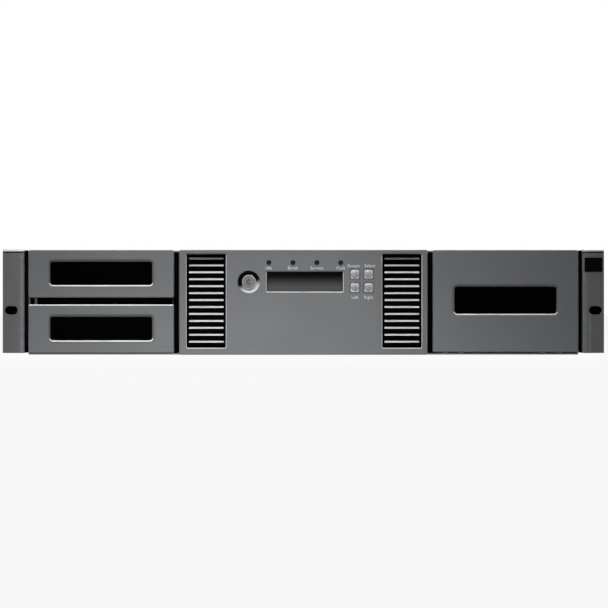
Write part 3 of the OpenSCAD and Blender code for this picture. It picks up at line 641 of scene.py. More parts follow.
pocket_front("left_magazine_front", "left_magazine", *mm(11.9, 30.1))
pocket_front("mail_slot_front", "mail_slot", *mm(55.9, 73.9))
pocket_front("right_magazine_front", "right_magazine", *mm(33.1, 54.1))

# %% [markdown]
# ## A well that shades from black to light
# The power button sits in a dished well. Its upper part lies in the bezel's shade and its lower
# part looks up into the light. The contrast is wide and soft, so the paint of the well carries
# some of it: a ramp from near black to a light grey along a slanted direction, with a fine speck.
# The display uses the same ramp later on.

# %% A finish with painted shade along a direction
PAINTED_SHADE_BLACK = (0.003, 0.0035, 0.003, 1.0)


def painted_shade_finish(name, direction, reach, light, roughness, specular):
    """Painted shade: from near black to a light colour between two distances along a direction."""
    tree = new_finish(name)
    place = object_place(tree)
    along_way = add_node(tree, "VectorMath", {0: place, 1: direction}, operation="DOT_PRODUCT")
    ramp = rescale(tree, along_way.outputs["Value"], *reach, -0.12, interpolation_type="SMOOTHSTEP")
    speck = calc(tree, "MULTIPLY_ADD", noise(tree, place, 900.0, 1.0), 0.1, ramp)
    sockets = {
        "Base Color": blend(tree, speck, PAINTED_SHADE_BLACK, (*light, 1.0)),
        "Roughness": roughness,
        "Specular IOR Level": specular,
    }
    shader = add_node(tree, "BsdfPrincipled", sockets)
    add_node(tree, "OutputMaterial", {"Surface": shader.outputs[0]})


# %% [markdown]
# ## Centre bezel
# One moulding carries everything that the operator touches. It has an opening for each vent, a
# window for the display, four holes for the status lights, a dished well for the power button
# and a square opening for each key. All cutters are joined and taken out in one Boolean, and
# then each kind of opening gets its own rounding: wide on the vents, narrow on the display and
# fine on the small ones. The walls of the openings carry painted shade, a black paint where the
# shade falls, and the lips below and beside the vents and the display carry a painted highlight,
# a near-white paint where they catch the light. These lips draw the front.

# %% Places on the control panel
CONTROL_X = 1.2 * MM
VENT_X, VENT_Z = {"left": -77.3 * MM, "right": 78.4 * MM}, 42.8 * MM
VENT_W, VENT_H = mm(31.2, 74.6)
LCD_Z, LCD_W, LCD_H = mm(58.1, 60.6, 15.8)
LED_X = [CONTROL_X + (i - 1.5) * 19.07 * MM for i in range(4)]
LED_Z, LED_R = mm(73.3, 1.7)
POWER_X, POWER_Z = mm(-43.4, 58)
POWER_R, POWER_GAP, WELL_R, WELL_D = mm(5.2, 0.5, 8.6, 2.8)
KEY_X, KEY_Z = mm(41, 51.9), mm(64, 53.4)
KEY_W, KEY_H, KEY_GAP = mm(6.8, 7.2, 1)
BEZEL_SKIN, BEZEL_WALL = mm(3, 2.2)


def rect(x, z, width, height):
    """Lowest and highest corner of a rectangle centred on (x, z)."""
    return (x - width / 2, z - height / 2), (x + width / 2, z + height / 2)


VENTS = [rect(x, VENT_Z, VENT_W, VENT_H) for x in VENT_X.values()]
LCD = rect(CONTROL_X, LCD_Z, LCD_W, LCD_H)
KEY_HOLES = [rect(x, z, KEY_W + 2 * KEY_GAP, KEY_H + 2 * KEY_GAP) for x in KEY_X for z in KEY_Z]
LED_HOLES = [rect(x, LED_Z, 2 * LED_R, 2 * LED_R) for x in LED_X]
WELL = rect(POWER_X, POWER_Z, 2 * WELL_R, 2 * WELL_R)
print(len(VENTS) + len(KEY_HOLES) + len(LED_HOLES) + 2, "openings in the bezel")

# %% Painted shade and highlight of the well
WELL_LIGHT_WAY = Vector((0.34, 0, -0.94))
well_middle = Vector((POWER_X, 0, POWER_Z)).dot(WELL_LIGHT_WAY)
well_reach = (well_middle - 1 * MM, well_middle + 7 * MM)
# painted shade and highlight: the well is black at its upper side and light grey at its lower side
painted_shade_finish("well_painted_shading", WELL_LIGHT_WAY, well_reach, (0.70, 0.71, 0.72), 0.5, 0.03)
print("well paint runs from", well_reach[0], "to", well_reach[1])


# %% Bezel body and openings
CUTTER_DEPTH = 3 * BEZEL_SKIN
# depths at which the painted highlight on the lips, the painted shade on the large walls and that on
# the small walls begin
LIP_DEPTH, WALL_DEPTH, SMALL_WALL_DEPTH = mm(0.08, 0.85, 0.1)
# openings, margin of the search, rounding and its segments
MOUTHS = (
    (VENTS, 0.5, 0.8, 4),
    ([LCD], 0.3, 0.9, 4),
    (KEY_HOLES, 0.2, 0.15, 2),
    (LED_HOLES, 0.2, 0.45, 3),
    ([WELL], 0.2, 0.9, 5),
)


def bezel_cutters():
    """One cutter for each opening: round-cornered blocks and rods."""
    cutters = [
        add_round_block(
            "cutter",
            (low[0], front_y - PAST, low[1]),
            (high[0], front_y + BEZEL_SKIN + PAST, high[1]),
            radius * MM,
        )
        for openings, radius in ((VENTS, 0.8), ([LCD], 0.6), (KEY_HOLES, 1.8))
        for low, high in openings
    ]
    y = front_y + BEZEL_SKIN / 2
    cutters += [add_rod("cutter", (x, y, LED_Z), LED_R, CUTTER_DEPTH, sides=32) for x in LED_X]
    cutters.append(add_rod("cutter", (POWER_X, y, POWER_Z), POWER_R + POWER_GAP, CUTTER_DEPTH))
    return join("cutters", cutters)


def paint_bezel(obj):
    """Painted highlights on the lips, painted shade on the walls, and the well's painted shading."""

    def deep(c, openings, depth):
        return c.y > front_y + depth and any(near(c, *hole, MM) for hole in openings)

    def highlight_lip(c):
        top = VENTS[0][1][1] if abs(c.x) > LCD_W else LCD[1][1]
        return c.z < top - MM and deep(c, [*VENTS, LCD], LIP_DEPTH)

    def in_well(c, depth):
        reach = (c - Vector((POWER_X, front_y, POWER_Z))).length
        return reach < WELL_R + MM and c.y > front_y + depth

    # painted highlight: near-white lips below and beside the vents and the display
    paint_inside(obj, "painted_highlight", highlight_lip)
    # painted shade: black walls of the vents and the display where the shade falls
    paint_inside(obj, "black_plastic", lambda c: deep(c, [*VENTS, LCD], WALL_DEPTH))
    # painted shade: black walls of the key and status light holes
    small = KEY_HOLES + LED_HOLES
    paint_inside(obj, "black_plastic", lambda c: deep(c, small, SMALL_WALL_DEPTH))
    # painted shade and highlight: the dish of the well gets the ramp
    paint_inside(obj, "well_painted_shading", lambda c: in_well(c, SMALL_WALL_DEPTH))
    # painted shade: the deep gap round the power button is black
    paint_inside(obj, "black_plastic", lambda c: in_well(c, WELL_D))


def centre_bezel():
    """The moulding with all its openings, and the dish of the well."""
    low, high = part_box("centre_bezel")
    obj = add_moulding("centre_bezel_moulding", low, high, BEZEL_WALL, BEZEL_SKIN)
    split_across(obj, [LED_Z, KEY_Z[0], POWER_Z, KEY_Z[1]])
    combine(obj, bezel_cutters())
    middle = (POWER_X, front_y + WELL_D / 2, POWER_Z)
    dish = add_rod("dish", middle, POWER_R + POWER_GAP, WELL_D, sides=64, end_radius=WELL_R)
    combine(obj, dish)
    for openings, margin, width, segments in MOUTHS:
        for low, high in openings:
            edges = opening_edges(front_y, low, high, margin * MM)
            bevel_edges(obj, edges, width * MM, segments)
    paint_bezel(stand_in(obj, "chassis", "front_paint", "centre_bezel"))


centre_bezel()

# %% [markdown]
# ## Vent grilles
# Behind each vent opening sits an insert with thirteen louvres. Each louvre is a thin strip whose
# upper face slopes forward, so it takes light from above and shows as a bright line over black;
# its near-white paint is a painted highlight on top of that light. One strip is a box whose rear
# edge is raised; its nose is rounded, and copies are stacked down the insert at an even spacing.
# A thin post at each end and a surround hold them; the posts, the surround and the ends of the
# louvres carry painted shade, a black paint where the shade falls. A pad of black filter foam
# fills the space behind, and its black, without sheen, is partly painted shade.

# %% Louvres, surround and filter pad
SLATS = 13
SLAT_PITCH = 5.53 * MM
SLAT_TOP_Z = 76.85 * MM
SLAT_L, SLAT_D, SLAT_T, SLAT_RISE = mm(27.8, 3, 0.55, 1.1)
SLAT_NOSE_DROP, SLAT_NOSE_ROUND, SLAT_END_ROUND = mm(0.9, 0.2, 0.15)
GRILLE_RIM = 4.2 * MM
GRILLE_W, GRILLE_H = VENT_W + GRILLE_RIM, VENT_H + GRILLE_RIM
# heights of the louvres: outside them, and beyond the louvres' ends, the insert carries painted
# shade
GRILLE_SHADE_OUTSIDE_Z = (7 * MM, SLAT_TOP_Z + MM)
POST_W, POST_FRONT = mm(0.8, 2)
PAD_FRONT, PAD_BACK = mm(0.2, 5)
GRILLE_GAP = 0.02 * MM


def slat_stack(x, y0):
    """Sloping strips with rounded edges, one above the other."""
    nose_z = SLAT_TOP_Z - SLAT_NOSE_DROP
    ends = (x - SLAT_L / 2, y0, nose_z), (x + SLAT_L / 2, y0 + SLAT_D, nose_z + SLAT_T)
    slat = add_block("slat", *ends)
    pick(slat, "FACE", faces_rear)
    bpy.ops.transform.translate(value=(0, 0, SLAT_RISE))
    object_mode(slat)

    def across(edge):
        return along("y")(edge) or abs(edge.verts[0].co.x - edge.verts[1].co.x) < MM / 100

    def nose(edge):
        return along("x")(edge) and edge.verts[0].co.y < y0 + 0.1 * MM

    bevel_edges(slat, nose, SLAT_NOSE_ROUND)
    bevel_edges(slat, across, SLAT_END_ROUND, 2)
    return row_of(slat, "slats", [(0, 0, -i * SLAT_PITCH) for i in range(1, SLATS)])


def vent_grille(side):
    """The louvres in their surround, and the filter pad behind them."""
    name, x = side + "_vent_grille", VENT_X[side]
    y0 = front_y + BEZEL_SKIN + GRILLE_GAP
    y1 = y0 + SLAT_D
    slats = slat_stack(x, y0)
    outside = centred(x, VENT_Z, GRILLE_W, GRILLE_H, y0, y1)
    surround = add_round_block("surround", *outside, 0.8 * MM)
    window = centred(x, VENT_Z, VENT_W + 0.6 * MM, VENT_H + MM, y0 - PAST, y1 + PAST)
    combine(surround, add_block("window", *window))
    posts = []
    for end in (x - SLAT_L / 2, x + SLAT_L / 2):
        post = centred(end, VENT_Z, POST_W, GRILLE_H - 2 * MM, y0 + POST_FRONT, y1 - 0.1 * MM)
        posts.append(add_block("post", *post))
    insert = join(name + "_insert", [surround, *posts, slats])
    # the louvres carry a near-white painted highlight
    stand_in(insert, "chassis", "front_paint", name, finish="slat_highlight_paint")

    def shade_off_the_slats(c):
        low, high = GRILLE_SHADE_OUTSIDE_Z
        return abs(c.x - x) > SLAT_L / 2 - 0.6 * MM or not low <= c.z <= high

    # painted shade: the posts, the surround and the louvres' ends are black where the shade falls
    paint_inside(insert, "black_plastic", shade_off_the_slats)
    foam = centred(x, VENT_Z, GRILLE_W - MM, GRILLE_H, y1 + PAD_FRONT, y1 + PAD_BACK)
    pad = add_round_block(side + "_air_filter_pad", *foam, MM)
    # painted shade: the pad's black without sheen stands in for the shade behind the louvres
    dress(polish(pad), "chassis", "foam_painted_shade")


vent_grille("left")
vent_grille("right")

# %% [markdown]
# ## Display
# The display sits behind a dark window. It is switched off, so its glass is almost black at the
# top, where the bezel shades it, and a little greyer toward the bottom. That slow change is
# painted shade in the colour of the glass: the ramp of the well again, now straight down.

# %% Display glass
lcd_reach = (-LCD[1][1], -LCD[0][1])
# painted shade: the glass is near black at the top, where the bezel shades it, and greyer towards
# the bottom
painted_shade_finish("display", (0, 0, -1), lcd_reach, (0.115, 0.124, 0.118), 0.45, 0.02)
glass = add_round_block("lcd_window_glass", *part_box("lcd_window"), 0.8 * MM)
bevel_rim(glass, faces_front, 0.15 * MM, 2)
stand_in(glass, "chassis", "display", "lcd_window")

# %% [markdown]
# ## Status lights
# Four light pipes stand behind the row of holes. A light pipe is a smoked rod with a rounded end
# and a flange that keeps it in place. One is made from two cylinders, the end of the long one is
# rounded, and both are copied along the row.

# %% Light pipes
PIPE_R, PIPE_SINK, PIPE_ROUND = LED_R - 0.1 * MM, 0.2 * MM, 0.7 * MM
FLANGE_R, FLANGE_T, FLANGE_BACK = LED_R + 0.9 * MM, 1 * MM, 3.6 * MM
pipe_low, pipe_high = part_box("status_leds")
pipe_y0 = pipe_low.y + PIPE_SINK
pipe_middle = (LED_X[0], (pipe_y0 + pipe_high.y) / 2, LED_Z)
pipe = add_rod("pipe", pipe_middle, PIPE_R, pipe_high.y - pipe_y0, sides=32)
bevel_rim(pipe, faces_front, PIPE_ROUND, 4)
flange = add_rod("flange", (LED_X[0], front_y + FLANGE_BACK, LED_Z), FLANGE_R, FLANGE_T, sides=32)
pipe = join("pipe", [flange, pipe])
pipes = row_of(pipe, "status_light_pipes", [(x - LED_X[0], 0, 0) for x in LED_X[1:]])
stand_in(pipes, "chassis", "light_pipes", "status_leds")

# %% [markdown]
# ## Power button
# The button is a turned disc at the bottom of its well. Its rounded edge, a fine groove and a
# raised dark power mark are what a fingertip feels. Insets with a depth shape the face from a
# cylinder. The mark is a ring with a gap at the top, made by spinning a small square around the
# button's axis, and a bar in the gap.

# %% Button and its mark
BUTTON_SINK, BUTTON_ROUND = mm(0.45, 0.45)
GROOVE_AT, GROOVE_W, GROOVE_D = mm(0.7, 0.35, 0.3)
MARK_RING = mm(1.5, 2)
MARK_GAP = math.radians(80)
MARK_BAR_W, MARK_BAR_FROM, MARK_BAR_TO = mm(0.5, 0.2, 2.2)
MARK_REACH = 2.4 * MM


def spin_ring(name, x, z, y0, y1, inner, outer, gap):
    """A ring around Y, open at the top over the gap angle, spun from a rectangle."""
    start = Vector((math.sin(gap / 2), 0, math.cos(gap / 2)))
    object_mode()
    bpy.ops.mesh.primitive_plane_add(size=1, location=(0, 0, 0))
    obj = settle(name)
    corners = [(inner, y0), (outer, y0), (outer, y1), (inner, y1)]
    for vertex, (reach, y) in zip([obj.data.vertices[i] for i in (0, 1, 3, 2)], corners):
        vertex.co = Vector((x, y, z)) + start * reach
    pick(obj, "FACE", everything)
    bpy.ops.mesh.spin(steps=28, angle=2 * math.pi - gap, center=(x, 0, z), axis=(0, 1, 0))
    bpy.ops.mesh.select_all(action="SELECT")
    bpy.ops.mesh.normals_make_consistent(inside=False)
    object_mode(obj)
    return obj


def power_button():
    """A disc with a groove and the raised mark."""
    low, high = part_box("power_button")
    face_y = front_y + BUTTON_SINK
    middle = (POWER_X, (face_y + high.y) / 2, POWER_Z)
    disc = add_rod("power_button_disc", middle, POWER_R, high.y - face_y, sides=64)
    bevel_rim(disc, faces_front, BUTTON_ROUND, 4)
    pick(disc, "FACE", faces_front)
    bpy.ops.mesh.inset(thickness=GROOVE_AT)
    bpy.ops.mesh.inset(thickness=GROOVE_W, depth=-GROOVE_D)
    object_mode(disc)
    mark_y = (low.y, face_y + 0.6 * MM)
    ring = spin_ring("ring", POWER_X, POWER_Z, *mark_y, *MARK_RING, MARK_GAP)
    bar = add_block(
        "bar",
        (POWER_X - MARK_BAR_W / 2, mark_y[0], POWER_Z + MARK_BAR_FROM),
        (POWER_X + MARK_BAR_W / 2, mark_y[1], POWER_Z + MARK_BAR_TO),
    )
    join("power_button_disc", [ring, bar, disc])
    stand_in(disc, "power_button", "button", "power_button")

    def on_mark(c):
        return math.hypot(c.x - POWER_X, c.z - POWER_Z) < MARK_REACH and c.y < face_y + 0.2 * MM

    paint_inside(disc, "black_plastic", on_mark)


power_button()

# %% [markdown]
# ## Keys
# Four square caps with round corners and a domed centre for the fingertip. The cap is a box with
# rounded edges; the dome is a flattened ball set into its face and joined to it. A dark rubber
# skirt closes the gap round the cap, a stem joins it to its switch, and each key carries a dark
# raised sign of its own: a cross, a tick and two arrowheads.

# %% Key cap, skirt and stem
KEY_FACE = 0.15 * MM
KEY_ROUND, KEY_RIM, KEY_BACK = mm(1.5, 0.35, 5)
DOME_R = 3.1 * MM
SKIRT_RIM, SKIRT_FRONT, SKIRT_BACK = mm(1.4, 3.3, 3.8)
STEM_W, STEM_FRONT = mm(4, 4.9)


def add_key(name, x, z):
    """A key centred on (x, z), and the depth at which its sign starts."""
    low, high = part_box(name)
    face_y = front_y - KEY_FACE
    body = centred(x, z, KEY_W, KEY_H, face_y, front_y + KEY_BACK)
    cap = add_round_block("cap", *body, KEY_ROUND)
    bevel_rim(cap, faces_front, KEY_RIM)
    size = KEY_W + 2 * SKIRT_RIM, KEY_H + 2 * SKIRT_RIM
    sheet = centred(x, z, *size, front_y + SKIRT_FRONT, front_y + SKIRT_BACK)
    skirt = add_round_block("skirt", *sheet, KEY_ROUND, segments=3)
    stem = add_block("stem", *centred(x, z, STEM_W, STEM_W, front_y + STEM_FRONT, high.y))
    object_mode()
    bpy.ops.mesh.primitive_uv_sphere_add(
        segments=40,
        ring_count=24,
        radius=DOME_R,
        location=(x, face_y + 0.2 * MM, z),
        rotation=TURN["y"],
        scale=(1, 1, (face_y - low.y + 0.1 * MM) / DOME_R),
    )
    combine(cap, settle("dome"), "UNION")
    return join(name + "_cap", [skirt, stem, cap]), low.y


# %% Raised signs
SIGN_W, SIGN_T = mm(0.42, 0.9)


def stroke(x, z, length, lean, y):
    """A short raised bar on a key, centred on (x, z) and leaning by an angle in degrees."""
    bar = add_block("stroke", *centred(x, z, SIGN_W, length, y, y + SIGN_T))
    return turn_all(bar, math.radians(lean), "Y", (x, y, z))


def cross(x, z, y):
    """Two strokes of one length that cross in their middle."""
    return [stroke(x, z, 2.2 * MM, lean, y) for lean in (45, -45)]


def tick(x, z, y):
    """A long stroke up to the right and a short one down to it."""
    long = stroke(x + 0.35 * MM, z + 0.1 * MM, 2.2 * MM, -35, y)
    short = stroke(x - 0.75 * MM, z - 0.42 * MM, 1.15 * MM, 45, y)
    return [long, short]


def arrowhead(side):
    """A sign that points to one side: a rod with three corners."""

    def sign(x, z, y):
        head = add_rod("head", (x, y + SIGN_T / 2, z), 1.3 * MM, SIGN_T, sides=3)
        return [turn_all(head, side * math.pi / 2, "Y", (x, y, z))]

    return sign


# %% Four keys with their signs
KEYS = {
    "key_cancel": ("cancel_key", 0, 0, cross),
    "key_enter": ("enter_key", 1, 0, tick),
    "key_previous": ("previous_key", 0, 1, arrowhead(1)),
    "key_next": ("next_key", 1, 1, arrowhead(-1)),
}
for name, (body, column, row, sign) in KEYS.items():
    x, z = KEY_X[column], KEY_Z[row]
    cap, sign_y = add_key(name, x, z)
    key = stand_in(join(name + "_cap", [*sign(x, z, sign_y), cap]), body, "silver_keys", name)
    paint_inside(key, "key_rubber", lambda c: not sign_y + 0.01 * MM <= c.y <= front_y + 3 * MM)

# %% [markdown]
# ## Legends
# Small words are printed in light grey under the status lights and beside the keys. They are
# everyday words of this kind of panel. A text object is given its words, turned to face forward,
# made a mesh and only then put in place, with a thickness of a few hundredths of a millimetre.

# %% Printed words
LEGEND_SIZE, LEGEND_T = mm(3.6, 0.02)
LIGHT_WORDS_Z, UPPER_WORDS_Z, LOWER_WORDS_Z = mm(67.9, 69.7, 44.6)
LEGENDS = [
    *zip(("Idle", "Brush", "Service", "Fault"), LED_X, [LIGHT_WORDS_Z] * 4),
    ("Escape", KEY_X[0] - MM, UPPER_WORDS_Z),
    ("Select", KEY_X[1] + MM, UPPER_WORDS_Z),
    ("Left", KEY_X[0], LOWER_WORDS_Z),
    ("Right", KEY_X[1], LOWER_WORDS_Z),
]


def legend(words, x, z):
    """Flat words centred on x, with their foot at z."""
    object_mode()
    bpy.ops.object.text_add(location=(x, front_y - LEGEND_T, z), rotation=TURN["y"])
    text = bpy.context.object
    text.data.body = words
    text.data.size = LEGEND_SIZE
    text.data.align_x = "CENTER"
    text.data.extrude = LEGEND_T
    text.data.resolution_u = 3
    bpy.ops.object.convert(target="MESH")
    return settle("legend")


dress(join("legends", [legend(*row) for row in LEGENDS]), "chassis", "legend_ink")

# %% [markdown]
# ## Rack ears
# The ears carry the machine in the rack. Each is a bracket whose face curves back toward its
# outer edge, with a rounded slot for the rack's screw, a shadow line under its top edge, and a
# leg along the case's side. The box is cut to the curve by sharing its space with a large
# cylinder, the leg is joined on, and the slot and the shadow line are cut. The shadow line and
# the ear's inner side carry painted shade, a black paint where the shade falls, and the strip
# above the line, which catches the light, carries a near-white painted highlight. The left ear
# is the right one mirrored, with its normals put right afterwards.

# %% Shape of an ear
EAR_T, EAR_BEVEL, EAR_CROWN_R = mm(8, 1.6, 30)
EAR_TOP_ROUND, EAR_BOTTOM_ROUND = mm(1.4, 0.7)
EAR_IN = 221.8 * MM
EAR_FACE_Y, EAR_SIDE_Y = mm(-370, -365)
LEG_Z, LEG_T, LEG_ROUND = mm(8, 76), 2 * MM, 6 * MM
WEB_T, WEB_OVERLAP = mm(3, 4)
SLOT_X, SLOT_Z, SLOT_R, SLOT_L, SLOT_ROUND = mm(232.55, 35.3, 3.35, 10.3, 0.45)
SHADOW_Z, SHADOW_DEPTH, SHADOW_BACK = mm(81.2, 82.3), 1.3 * MM, 2 * MM
STRIP_Z = mm(82.35, 83.8)
ear_low, ear_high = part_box("right_rack_ear")
EAR_FRONT_HALF = ear_low.y + EAR_T / 2 + MM
print("the right ear reaches from", ear_low, "to", ear_high)


def ear_curve(radius):
    """A tall cylinder whose side is the curve of the ear's face."""
    centre = (EAR_IN + EAR_BEVEL, ear_low.y + EAR_CROWN_R, ear_high.z / 2)
    return add_rod("curve", centre, radius, 2 * ear_high.z, "z", 160)


def inner_edge(edge):
    """Test for the upright edge between the ear's face and its inner side."""
    place = edge.verts[0].co
    at_corner = place.x < EAR_IN + MM / 10 and place.y < ear_low.y + MM / 10
    return along("z")(edge) and at_corner


def end_edges(is_top):
    """Test for the edges round the top or the bottom of the ear's front half."""

    def at_end(edge):
        first, second = (v.co for v in edge.verts)
        level = abs(first.z - second.z) < MM / 100 and not along("y")(edge)
        return level and min(first.y, second.y) < EAR_FRONT_HALF and is_top(first.z)

    return at_end


def slot_rim(edge):
    """Test for the front edge of the slot."""
    slot = rect(SLOT_X, SLOT_Z, SLOT_L, 2 * SLOT_R)
    inside = all(near(v.co, *slot, 0.1 * MM) and v.co.y < EAR_FRONT_HALF for v in edge.verts)
    return inside and not along("y")(edge)


def right_ear():
    """The curved face with its slot and shadow line, on a leg and a web."""
    low, high = ear_low, ear_high
    back = low.y + EAR_T
    obj = add_block("ear", (EAR_IN, low.y, low.z), (high.x, back, high.z))
    bevel_edges(obj, inner_edge, EAR_BEVEL, 4)
    combine(obj, ear_curve(EAR_CROWN_R), "INTERSECT")
    bevel_edges(obj, end_edges(lambda z: z > high.z / 2), EAR_TOP_ROUND, 2)
    bevel_edges(obj, end_edges(lambda z: z < high.z / 2), EAR_BOTTOM_ROUND)
    start = (low.x, back - WEB_T, LEG_Z[0])
    leg = add_block("leg", start, (low.x + LEG_T, high.y, LEG_Z[1]))
    bevel_edges(leg, lambda e: along("x")(e) and e.verts[0].co.y > high.y - MM, LEG_ROUND, 6)
    combine(obj, leg, "UNION")
    combine(obj, add_block("web", start, (EAR_IN + WEB_OVERLAP, back, LEG_Z[1])), "UNION")
    slot = centred(SLOT_X, SLOT_Z, SLOT_L, 2 * SLOT_R, low.y - PAST, low.y + 2 * EAR_T)
    combine(obj, add_round_block("slot", *slot, SLOT_R * 0.999, segments=10))
    shadow = add_block(
        "shadow",
        (EAR_IN - PAST, low.y - PAST, SHADOW_Z[0]),
        (high.x + PAST, back - SHADOW_BACK, SHADOW_Z[1]),
    )
    combine(shadow, ear_curve(EAR_CROWN_R - SHADOW_DEPTH))
    combine(obj, shadow)
    bevel_edges(obj, slot_rim, SLOT_ROUND)
    return obj


# %% Both ears
def highlight_strip(c):
    """Test for the face's strip above the shadow line, which gets a painted highlight."""
    return STRIP_Z[0] < c.z < STRIP_Z[1] and c.y < EAR_FACE_Y


def shade_part(c):
    """Test for the inner side and the shadow line, which get painted shade."""
    inner_side = abs(c.x) < EAR_IN - MM / 10 and c.y < EAR_SIDE_Y
    return inner_side or SHADOW_Z[0] - MM / 100 < c.z < SHADOW_Z[1] + MM / 100


ear = right_ear()
left = copy_at(ear, "left_rack_ear_bracket", (0, 0, 0))
pick(left, "FACE", everything)
bpy.ops.transform.resize(value=(-1, 1, 1), center_override=(0, 0, 0))
bpy.ops.mesh.normals_make_consistent(inside=False)
object_mode(left)
ear.name = ear.data.name = "right_rack_ear_bracket"
for bracket, node in ((left, "left_rack_ear"), (ear, "right_rack_ear")):
    stand_in(bracket, "chassis", "ear_paint", node)
    # painted highlight on the strip above the shadow line
    paint_inside(bracket, "painted_highlight", highlight_strip)
    # painted shade: the inner side and the shadow line are black
    paint_inside(bracket, "black_plastic", shade_part)

# %% [markdown]
# ## Seals and clip nuts
# Behind the gaps between the fronts there are strips of black foam and rubber, which keep light
# and dust out of the machine; their black, without sheen, is also painted shade for the gaps.
# Behind the slot of each ear sits a clip nut of black spring steel for the rack's screw. The
# strips are plain blocks with rounded edges. A clip nut is a block with a turned collar and a
# blind hole in its middle.

# %% Foam and rubber strips
# name, body, and both corners in millimetres
SEALS = (
    ("mail_slot_gap_seal", "left_magazine", (-212.3, -364.5, 33), (-104.6, -362.4, 52.5)),
    ("left_bay_edge_seal", "chassis", (-103.3, -364.8, 2), (-97, -362.8, 81.7)),
    ("left_ear_gap_seal", "chassis", (-223, -373.3, 1.6), (-219.15, -372.6, 83.2)),
    ("right_bay_edge_seal", "chassis", (97, -364.8, 2), (103.3, -362.8, 81.7)),
    ("right_ear_gap_seal", "chassis", (219.15, -373.3, 1.6), (223, -372.6, 83.2)),
)
SEAL_ROUND = 0.4 * MM
# painted shade: the strips are near black without sheen, for the shade in the gaps
for name, body, low, high in SEALS:
    seal = add_round_block(name, mm(*low), mm(*high), SEAL_ROUND, axis="z", segments=2)
    dress(polish(seal), body, "foam_painted_shade")

# %% Clip nuts behind the ears' slots
NUT_W, NUT_H, NUT_T, NUT_GAP, NUT_ROUND = mm(13.8, 12, 2.5, 0.1, 1)
COLLAR_R, COLLAR_L, HOLE_R, HOLE_L = mm(4.5, 4, 2.6, 9)


def clip_nut(name, x):
    """A nut behind the slot at x, with its collar to the rear."""
    back = ear_low.y + EAR_T
    plate = centred(x, SLOT_Z, NUT_W, NUT_H, back + NUT_GAP, back + NUT_GAP + NUT_T)
    nut = add_round_block(name, *plate, NUT_ROUND)
    combine(nut, add_rod("collar", (x, back + COLLAR_L, SLOT_Z), COLLAR_R, COLLAR_L), "UNION")
    combine(nut, add_rod("hole", (x, back, SLOT_Z), HOLE_R, HOLE_L, sides=32))
    bevel_rim(nut, faces_front, 0.3 * MM, 2)
    dress(polish(nut), "chassis", "black_plastic")


clip_nut("left_clip_nut", -SLOT_X)
clip_nut("right_clip_nut", SLOT_X)

# %% [markdown]
# ## Screws and thumbscrews
# The covers are held by pan-head screws with a cross recess. One screw is turned from a cylinder
# with a rounded rim, its recess is cut with two crossed blades, and copies are turned to face up,
# sideways or to the rear. The rear modules have captive thumbscrews that turn by hand: the head
# is a cylinder with many sides, every second corner of which is drawn in, which leaves ribs.

# %% Pan-head screws
# where the heads sit, in millimetres
COVER_X, COVER_Y, COVER_Z = (-212.5, 212.5), [-350 + 138 * i for i in range(6)], 83
SIDE_X, SIDE_Y, SIDE_Z = 219.5, (-200, -20, 160, 340), (14, 70)
REAR_X, REAR_Y, REAR_Z = (-216, -96, 96, 216), 373.2, (46, 79)
QUARTER = math.pi / 2


def pan_head(radius, height):
    """A screw head on the origin that looks up."""
    head = add_rod("screw", (0, 0, height / 2), radius, height, "z", 32)
    bevel_rim(head, faces_up, 0.6 * height)
    wide, narrow = 0.6 * radius, 0.15 * radius
    for x, y in ((narrow, wide), (wide, narrow)):
        combine(head, add_block("blade", (-x, -y, 0.3 * height), (x, y, 2 * height)))
    return head


def side_places(x):
    """Two rows of screws on the side of the case at x."""
    return [mm(x, y, z) for y in SIDE_Y for z in SIDE_Z]


head, rear_head = pan_head(*mm(3, 0.7)), pan_head(*mm(2.6, 0.95))
cover_places = [mm(x, y, COVER_Z) for x in COVER_X for y in COVER_Y]
rear_places = [mm(x, REAR_Y, z) for x in REAR_X for z in REAR_Z]
SCREW_ROWS = (
    (head, 0, "Z", cover_places),
    (head, QUARTER, "Y", side_places(-SIDE_X)),
    (head, -QUARTER, "Y", side_places(SIDE_X)),
    (rear_head, QUARTER, "X", rear_places),
)
heads = []
for pattern, angle, axis, places in SCREW_ROWS:
    turned = turn_all(copy_at(pattern, "turned", (0, 0, 0)), angle, axis)
    heads += [copy_at(turned, "head", place) for place in places]
    bpy.data.objects.remove(turned)
for spare in (head, rear_head):
    bpy.data.objects.remove(spare)
stand_in(join("case_screw_heads", heads), "chassis", "screws", "case_screws")

# %% Thumbscrews
SHANK_R, SHANK_L, KNURL_R, KNURL_L = mm(2.9, 5.5, 3.4, 3)
KNURL_SIDES, KNURL_DRAW = 48, 0.92
THUMB_Y = 374.4
THUMB_PLACES = [mm(x, THUMB_Y, z) for x in (-80.5, 80.5) for z in (33, 72.7)]
THUMB_PLACES += [mm(x, THUMB_Y, 35) for x in (-108, 108)]


def every_second(vertex):
    """Test for every second corner round the Y axis."""
    turn = math.atan2(vertex.co.z, vertex.co.x) / (2 * math.pi)
    return round(turn * KNURL_SIDES) % 2 == 1


def thumbscrew():
    """A knurled head on the origin that looks to the rear."""
    shank = add_rod("shank", (0, SHANK_L / 2, 0), SHANK_R, SHANK_L, sides=40)
    bevel_rim(shank, faces_rear, 0.5 * MM)
    combine(shank, add_block("slit", mm(-3, 4.7, -0.4), mm(3, 6, 0.4)))
    knurl = add_rod("knurl", (0, KNURL_L, 0), KNURL_R, KNURL_L, sides=KNURL_SIDES)
    pick(knurl, "VERT", every_second)
    bpy.ops.transform.resize(value=(KNURL_DRAW, 1, KNURL_DRAW), center_override=(0, 0, 0))
    bevel_rim(knurl, faces_rear, 0.25 * MM, 1)
    return join("thumbscrew", [shank, knurl])


grip = thumbscrew()
grips = [copy_at(grip, "grip", place) for place in THUMB_PLACES]
bpy.data.objects.remove(grip)
stand_in(join("thumbscrew_heads", grips), "chassis", "screws", "thumbscrews")

